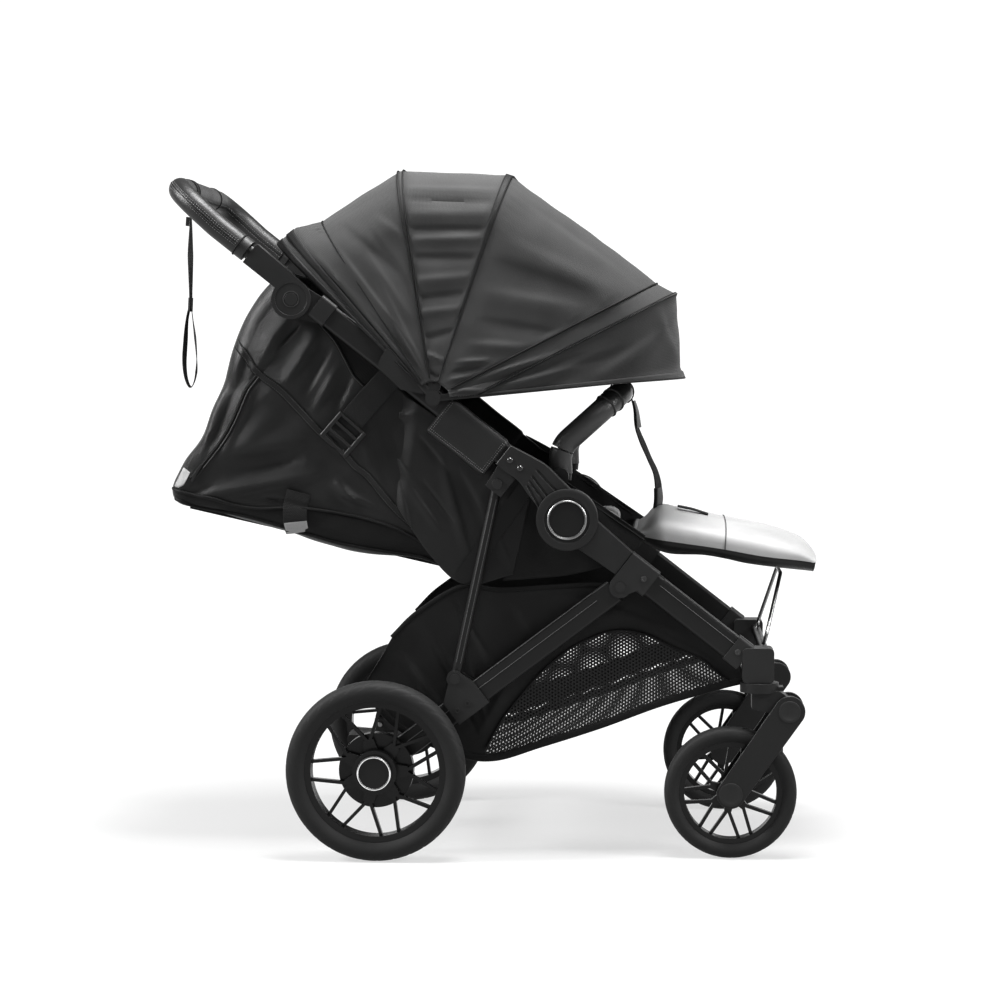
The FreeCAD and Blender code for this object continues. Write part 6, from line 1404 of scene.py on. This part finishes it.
def build_leg_rest():
    """A pale padded top over dark sides, with a cross seam and a strap's end."""
    grid, up = leg_grid()
    upper = up[0] > -0.08
    pale = surface("leg_rest_top", grid[:, upper], "pale_leathercloth")
    pale.data.flip_normals()
    dark = surface("leg_rest_base", grid, "leathercloth", closed=True)
    shrink = dark.modifiers.new("under", "DISPLACE")
    shrink.strength = -0.0012
    shrink.mid_level = 0.0
    middles = grid[1:-1, :, 0].mean(axis=1)
    section = grid[1 + int(np.argmin(np.abs(middles - LEG_CROSS_SEAM)))][upper]
    lifted = spread(section + unit(section - section.mean(0)) * 0.6, 120)
    place(sweep("leg_rest_seam", lifted, round_profile(1.8, 2.4, 8), (1.0, 0.0, 0.0), "dark_thread"),
          "leg_rest", "leathercloth")
    tail = side_line([(288, 538), (312, 533), (337, 525)], -30.0, 30)
    place(strap("leg_rest_strap_end", tail, 30.0, 3.0), "leg_rest", "cloth")
    pad = place(pale, "leg_rest", "leathercloth", ["leg_rest_pad"])
    place(dark, "leg_rest", "leathercloth")


# Basket

BASKET_TOP = [(-160, 340), (-119, 380), (-50, 421), (11, 416), (104, 422), (166, 424), (240, 412), (300, 370),
              (360, 322), (384, 300)]
BASKET_HEM = [(-206, 262), (-150, 200), (-60, 160), (0, 152), (73, 174), (167, 205), (260, 240), (353, 268),
              (392, 278)]
NET_ARC = [(-12, 168), (14, 214), (46, 255), (78, 291), (118, 324), (166, 348), (205, 354), (245, 345),
           (281, 327), (325, 309), (352, 286), (368, 276)]
BASKET_SIDE = 206.0
BASKET_FOLDS = [
    (-120, 370, -40, 250, 14, 3.0), (-60, 400, 10, 230, 16, 3.0), (-150, 320, -60, 200, 12, 3.0),
    (20, 400, 60, 330, 14, 2.4), (90, 410, 200, 370, 14, 2.6), (150, 400, 300, 345, 12, 2.4),
    (-100, 340, -20, 180, 5, -2.6), (-40, 330, -10, 200, 5, 2.6), (-130, 300, -90, 220, 5, 2.6),
    (-70, 415, 0, 300, 7, -2.4),
    (-30, 180, 40, 300, 10, 2.6), (240, 360, 350, 300, 10, 2.4),
]


def basket_side(side, rows=110, columns=200):
    """One wall of the basket: cloth between its top edge and its hem, with slack folds."""
    top, hem = (side_line(edge, side * BASKET_SIDE, columns) for edge in (BASKET_TOP, BASKET_HEM))
    points = between(top, hem, rows)
    t = np.linspace(0.0, 1.0, rows)[:, None]
    high = creases(points[..., 0], points[..., 2], BASKET_FOLDS) + swell(points, 41, 70.0, 1.5)
    points[..., 1] += side * (high * ease(np.minimum(t, 1 - t) * 8) - 2.0 * np.sin(math.pi * t) ** 2)
    return points


def build_basket():
    """Cloth walls with a net window on each side, a net floor, piped edges, an inner band and rear and front
    walls.
    """
    pieces = []
    for side_name, side in SIDES.items():
        points = basket_side(side)
        arc = np.asarray(NET_ARC, float)
        arc_z = np.interp(points[..., 0], arc[:, 0], arc[:, 1], left=0.0, right=0.0)
        window = ((points[..., 2] < arc_z) & (points[..., 0] > arc[0, 0]) & (points[..., 0] < arc[-1, 0]))
        faces = quads(*points.shape[:2], flip=side > 0)
        inside = window.reshape(-1)[faces].all(axis=1)
        uv = np.stack([points[..., 0], points[..., 2]], axis=-1).reshape(-1, 2)
        for part, keep, material in (("wall", ~inside, "basket_cloth"), ("net", inside, "net")):
            made = make(f"basket_{part}_{side_name}", points.reshape(-1, 3), faces[keep], material, uv)
            lone = bmesh.new()
            lone.from_mesh(made.data)
            bmesh.ops.delete(lone, geom=[v for v in lone.verts if not v.link_faces], context="VERTS")
            lone.to_mesh(made.data)
            lone.free()
            pieces.append(made)
        edges = [("net_piping", NET_ARC, BASKET_SIDE + 1.0, (6.0, 3.6, 10)),
                 ("hem", BASKET_HEM, BASKET_SIDE, (6.0, 12.0, 12, 2.6)),
                 ("top_binding", BASKET_TOP, BASKET_SIDE, (4.0, 8.0, 12, 2.6))]
        for part, edge, y, profile in edges:
            line = side_line(edge, side * y, 160)
            pieces.append(sweep(f"basket_{part}_{side_name}", line, round_profile(*profile), ACROSS,
                                "binding"))
    hem = curve(BASKET_HEM, 120)
    across = np.linspace(-BASKET_SIDE, BASKET_SIDE, 60)
    floor = np.stack([np.broadcast_to(hem[:, None, 0], (120, 60)), np.broadcast_to(across[None], (120, 60)),
                      hem[:, None, 1] - 5.0 * (1 - (across[None] / BASKET_SIDE) ** 2)], axis=-1)
    pieces.append(surface("basket_floor_net", floor, "net"))
    low = side_line([(x, z + 12.0) for x, z in BASKET_HEM[2:-1]], BASKET_SIDE - 2.5, 120)
    pieces.append(surface("basket_inner_band", between(low + np.array([0, 0, 36.0]), low, 6), "basket_cloth"))
    sagging = 336 - 26.0 * (1 - (across / BASKET_SIDE) ** 2)
    rear = between(np.stack([np.full(60, -160.0), across, sagging], axis=1),
                   np.stack([np.full(60, -206.0), across, np.full(60, 262.0)], axis=1), 20)
    pieces.append(surface("basket_rear_wall", rear, "basket_cloth"))
    front = between(np.stack([np.full(60, 384.0), across, np.full(60, 300.0)], axis=1),
                    np.stack([np.full(60, 392.0), across, np.full(60, 278.0)], axis=1), 6)
    pieces.append(surface("basket_front_wall", front, "basket_cloth"))
    for n, piece in enumerate(pieces):
        if not any(part in piece.name for part in ("piping", "hem", "binding", "net")):
            wall = piece.modifiers.new("thickness", "SOLIDIFY")
            wall.thickness = 1.2 * MM
            wall.offset = 0.0
        place(piece, "front_frame", "cloth", ["storage_basket"] if n == 0 else ())
        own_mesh(piece)


# Wheels

REAR_AXLE = (-179.0, 140.0)
FRONT_AXLE = (370.0, 103.0)


def tyre(name, centre, middle, radius, wide, depth, grooves, body, node):
    """A tyre turned from an oval section, with a stepped shoulder and slanting grooves in its tread."""
    turn = np.linspace(0.0, 2 * math.pi, 721)[:, None]
    s = np.linspace(0.0, 1.0, 61)[None, :]
    half = wide / 2
    inner, shoulder = radius - depth, radius - depth / 3
    a = (s * 2 - 1)
    side = np.abs(a)
    wall = np.clip((side - 0.42) / 0.58, 0.0, 1.0)
    crown_y = np.sin(np.clip(side / 0.42, 0, 1) * math.pi / 2 * 0.92)
    on_tread = side < 0.42
    wall_y = half * (0.93 + 0.07 * np.sin(wall * math.pi)) - wall**2 * half * 0.23
    y = np.where(on_tread, crown_y * half * 0.93, wall_y) * np.sign(a)
    tread_r = radius - (radius - shoulder) * (side / 0.42) ** 2.2
    r = np.where(on_tread, tread_r, shoulder - (shoulder - inner) * wall)
    pitch = 2 * math.pi / grooves
    reach = np.clip((side - 0.03) / 0.47, 0, 1)
    slant = turn - np.where(a > 0, pitch / 2, 0.0) - (0.9 * reach**2 + 0.25 * reach) * pitch * 1.2
    gap = np.abs((slant / pitch) % 1.0 - 0.5) * pitch * radius
    cut = np.clip(1 - gap / 1.9, 0, 1) ** 0.7 * ((side > 0.03) & (side < 0.55)) * ease((0.55 - side) * 12)
    line = np.clip(1 - np.abs(side - 0.57) / 0.018, 0, 1) * 0.5
    r = r - cut * 1.5 - line * 0.8
    x, z = centre[0] + r * np.cos(turn), centre[1] + r * np.sin(turn)
    grid = np.stack([x, middle + y + 0 * turn, z], axis=-1)
    grid = np.concatenate([grid, grid[:, :1]], axis=1)
    made = surface(name, grid, "rubber", closed=True)
    place(made, body, "tyre_rubber", [node])


def build_wheels():
    """The four tyres, and the bright ring on each rear hub cap."""
    for side_name, side in SIDES.items():
        tyre(f"rear_tread_{side_name}", REAR_AXLE, side * 272.0, 140.0, 46.0, 30.0, 34,
             f"rear_wheel_{side_name}", f"rear_tyre_{side_name}")
        tyre(f"front_tread_{side_name}", FRONT_AXLE, side * 215.0, 103.0, 38.0, 23.0, 26,
             f"front_wheel_{side_name}", f"front_tyre_{side_name}")
        middle = np.array([REAR_AXLE[0], side * 300.0, REAR_AXLE[1]])
        bead = ring_band(circle(middle, AHEAD, UP, 25.0, 97), middle, ACROSS, 1.7)
        place(surface(f"rear_cap_trim_{side_name}", bead, "bright", closed=True), f"rear_wheel_{side_name}",
              "bare_steel")


SWOOP_TOP = [(140, 35.2), (130, 37.5), (100, 43), (75, 46), (43, 42.6), (22, 40)]
SWOOP_LOW = [(140, -1.8), (120, -2), (95, -1), (70, -8), (50, -13), (40, -20)]
SWOOP_GROOVES = [((87, 31), (40, 24.5)), ((87, 20), (44, 9.3)), ((85, 11), (46, 0.9)), ((84, 4), (46, -10.2))]
SWOOP_FACE = 244.0


def swoop_plate(side_name, side, rows=150, columns=90):
    """The ribbed plate from the hub onto the upper tube: a flat face with grooves and broken edges."""
    v = np.linspace(0.0, 1.0, columns)[None, :, None]
    high, low = (curve(edge, rows)[:, None, :] for edge in (SWOOP_TOP, SWOOP_LOW))
    flat = high * (1 - v) + low * v
    along, off = flat[..., 0], flat[..., 1]
    wide = np.linalg.norm(high - low, axis=-1)
    rim = np.minimum(np.minimum(v[..., 0], 1 - v[..., 0]) * wide, 140.0 - along)
    y = SWOOP_FACE + 4.0 * ease((86.0 - along) / 40.0) - 1.6 * (1 - np.clip(rim / 1.8, 0, 1)) ** 2
    for (a0, o0), (a1, o1) in SWOOP_GROOVES:
        run = math.hypot(a1 - a0, o1 - o0)
        far = ((along - a0) * (a1 - a0) + (off - o0) * (o1 - o0)) / run
        beside = np.hypot((along - a0) - far * (a1 - a0) / run, (off - o0) - far * (o1 - o0) / run)
        y = y - 2.4 * np.exp(-(beside / 1.9) ** 4) * ease(far / 5.0)
    face = UPPER.at(along, off, side * y)
    wall = UPPER.at(along, off, side * TUBE_OUT)
    ring = np.concatenate([wall[:, :1], face, wall[:, -1:], wall[:, :1]], axis=1)
    ends = [np.repeat(wall[k].mean(0)[None, None], ring.shape[1], axis=1) for k in (0, -1)]
    grid = np.concatenate([ends[0], ring, ends[1]], axis=0)
    return surface(f"swoop_plate_{side_name}", grid, "plastic", closed=True)


def build_hubs():
    """Each hub's recessed cover, the bevelled ring round its bare disc, and its swooping plate."""
    for side_name, side in SIDES.items():
        rows = [(0.0, 235.0), (46.6, 235.0), (48.0, 236.4), (48.0, 252.8), (47.2, 254.3), (45.4, 255.0),
                (36.4, 255.0), (35.2, 254.4), (34.2, 253.0), (32.0, 252.6), (0.0, 252.6)]
        place(turned(f"hub_cover_{side_name}", HUB, rows, "plastic", 128, side),
              "upper_frame", "moulded_plastic", ["hub_covers"] if side < 0 else ())
        place(swoop_plate(side_name, side), "upper_frame", "moulded_plastic")
        rows = [(26.6, 252.4), (28.2, 255.4), (29.6, 255.9), (30.6, 255.2), (30.8, 252.4)]
        place(turned(f"hub_ring_{side_name}", HUB, rows + rows[:1], "ring", 96, side),
              "upper_frame", "moulded_plastic")
        rows = [(0.0, 253.2), (26.2, 253.2), (26.6, 252.4), (0.0, 252.2)]
        place(turned(f"hub_badge_{side_name}", HUB, rows, "badge", 96, side),
              "upper_frame", "moulded_plastic")


REAR_LEG = Line((198.0, 424.0), 217.0)
STRUT = Line((7.2, 583.3), -102.3)
FORK_PIVOT = (460.0, 233.0)
HANDLE_HINGE = (-313.0, 869.0)


def build_details():
    """Small trims of the frame: pale beads along the tubes' ridges as painted highlights, the plate's screws,
    the forks' caps and the hinges' rings.
    """
    # Each row is a pale bead on a ridge of a tube, a painted highlight where the ridge catches the light.
    edges = [
        ("rear_leg", REAR_LEG, 42.0, 430.0, 4.5, 230.6, "rear_frame"),
        ("rear_leg_top", REAR_LEG, 42.0, 430.0, 18.2, 229.9, "rear_frame"),
        ("front_leg", LEG, 176.0, 322.0, 7.0, 232.2, "front_frame"),
        ("front_leg_top", LEG, 176.0, 322.0, 19.2, 231.5, "front_frame"),
        ("upper_tube_top", UPPER, 262.0, 470.0, 33.8, 231.5, "upper_frame"),
        ("strut", STRUT, 24.0, 286.0, 3.4, 229.0, "struts"),
        ("strut_low", STRUT, 24.0, 286.0, -3.4, 229.0, "struts"),
    ]
    for side_name, side in SIDES.items():
        for name, line, start, end, off, y, body in edges:
            run = spread(np.stack([line.at(start, off, side * y), line.at(end, off, side * y)]), 40)
            bead = round_profile(1.1, 0.8, 8)
            place(sweep(f"worn_edge_{name}_{side_name}", run, bead, ACROSS, "worn_edge"), body, "frame_coat")
        for n, along in enumerate((106.0, 126.0)):
            spot = UPPER.at(along, UPPER_OFF)
            rows = [(0.0, 243.2), (4.4, 243.2), (4.4, 244.6), (3.4, 245.6), (1.8, 245.8), (1.6, 244.8),
                    (0.0, 244.8)]
            screw = turned(f"swoop_screw_{side_name}_{n}", (spot[0], spot[2]), rows, "screw", 24, side)
            place(screw, "upper_frame", "bare_steel")
        for name, spot, radius in (("axle", FRONT_AXLE, 18.5), ("pivot", FORK_PIVOT, 17.0)):
            rows = [(0.0, 243.4), (radius, 243.4), (radius, 244.8), (radius - 1.4, 245.6),
                    (radius - 4.2, 245.6), (radius - 5.0, 245.0), (0.0, 245.0)]
            cap = turned(f"fork_cap_{name}_{side_name}", spot, rows, "casting", 64, side)
            place(cap, f"fork_{side_name}", "moulded_plastic")
        face = max(abs(corner[1]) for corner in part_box("handle_hinge_lowers")) / MM
        middle = np.array([HANDLE_HINGE[0], side * face, HANDLE_HINGE[1]])
        for radius in (26.0, 12.0):
            bead = ring_band(circle(middle, AHEAD, UP, radius, 65), middle, ACROSS, 0.9)
            place(surface(f"hinge_ring_{side_name}_{int(radius)}", bead, "casting", closed=True),
                  "upper_frame", "moulded_plastic")


def build_floor():
    """A wide pale floor that curves up behind, as in a studio."""
    x = np.linspace(-6000, 6000, 13)
    y = np.concatenate([np.linspace(-6000, 2500, 9), 2500 + 2500 * np.sin(np.linspace(0.1, math.pi / 2, 12))])
    z = np.concatenate([np.zeros(9), 2500 * (1 - np.cos(np.linspace(0.1, math.pi / 2, 12)))])
    top = np.stack([np.broadcast_to(x[None], (21, 13)), np.broadcast_to(y[:, None], (21, 13)),
                    np.broadcast_to(z[:, None], (21, 13))], axis=-1)
    made = Finish("studio_floor", Base_Color=grey(0.14), Roughness=0.9, Specular_IOR_Level=0.1,
                  Emission_Strength=1.0)
    far = made.node("ShaderNodeVectorMath", {"operation": "LENGTH"}, {0: made.places()}, "Value")
    made.feed("Emission Color", made.blend(far.over(1.7, 2.4), grey(0.66), grey(0.96)))
    MATERIALS["floor"] = made.material
    surface("floor", top, "floor")


set_camera()
set_light()
build_floor()
dress_frame()
build_hood()
build_bag()
build_recline_straps()
build_wrist_strap()
build_crotch_strap()
build_grip()
build_bumper()
build_wraps()
build_seat_sides()
build_cushions()
build_leg_rest()
build_basket()
build_wheels()
build_hubs()
build_details()
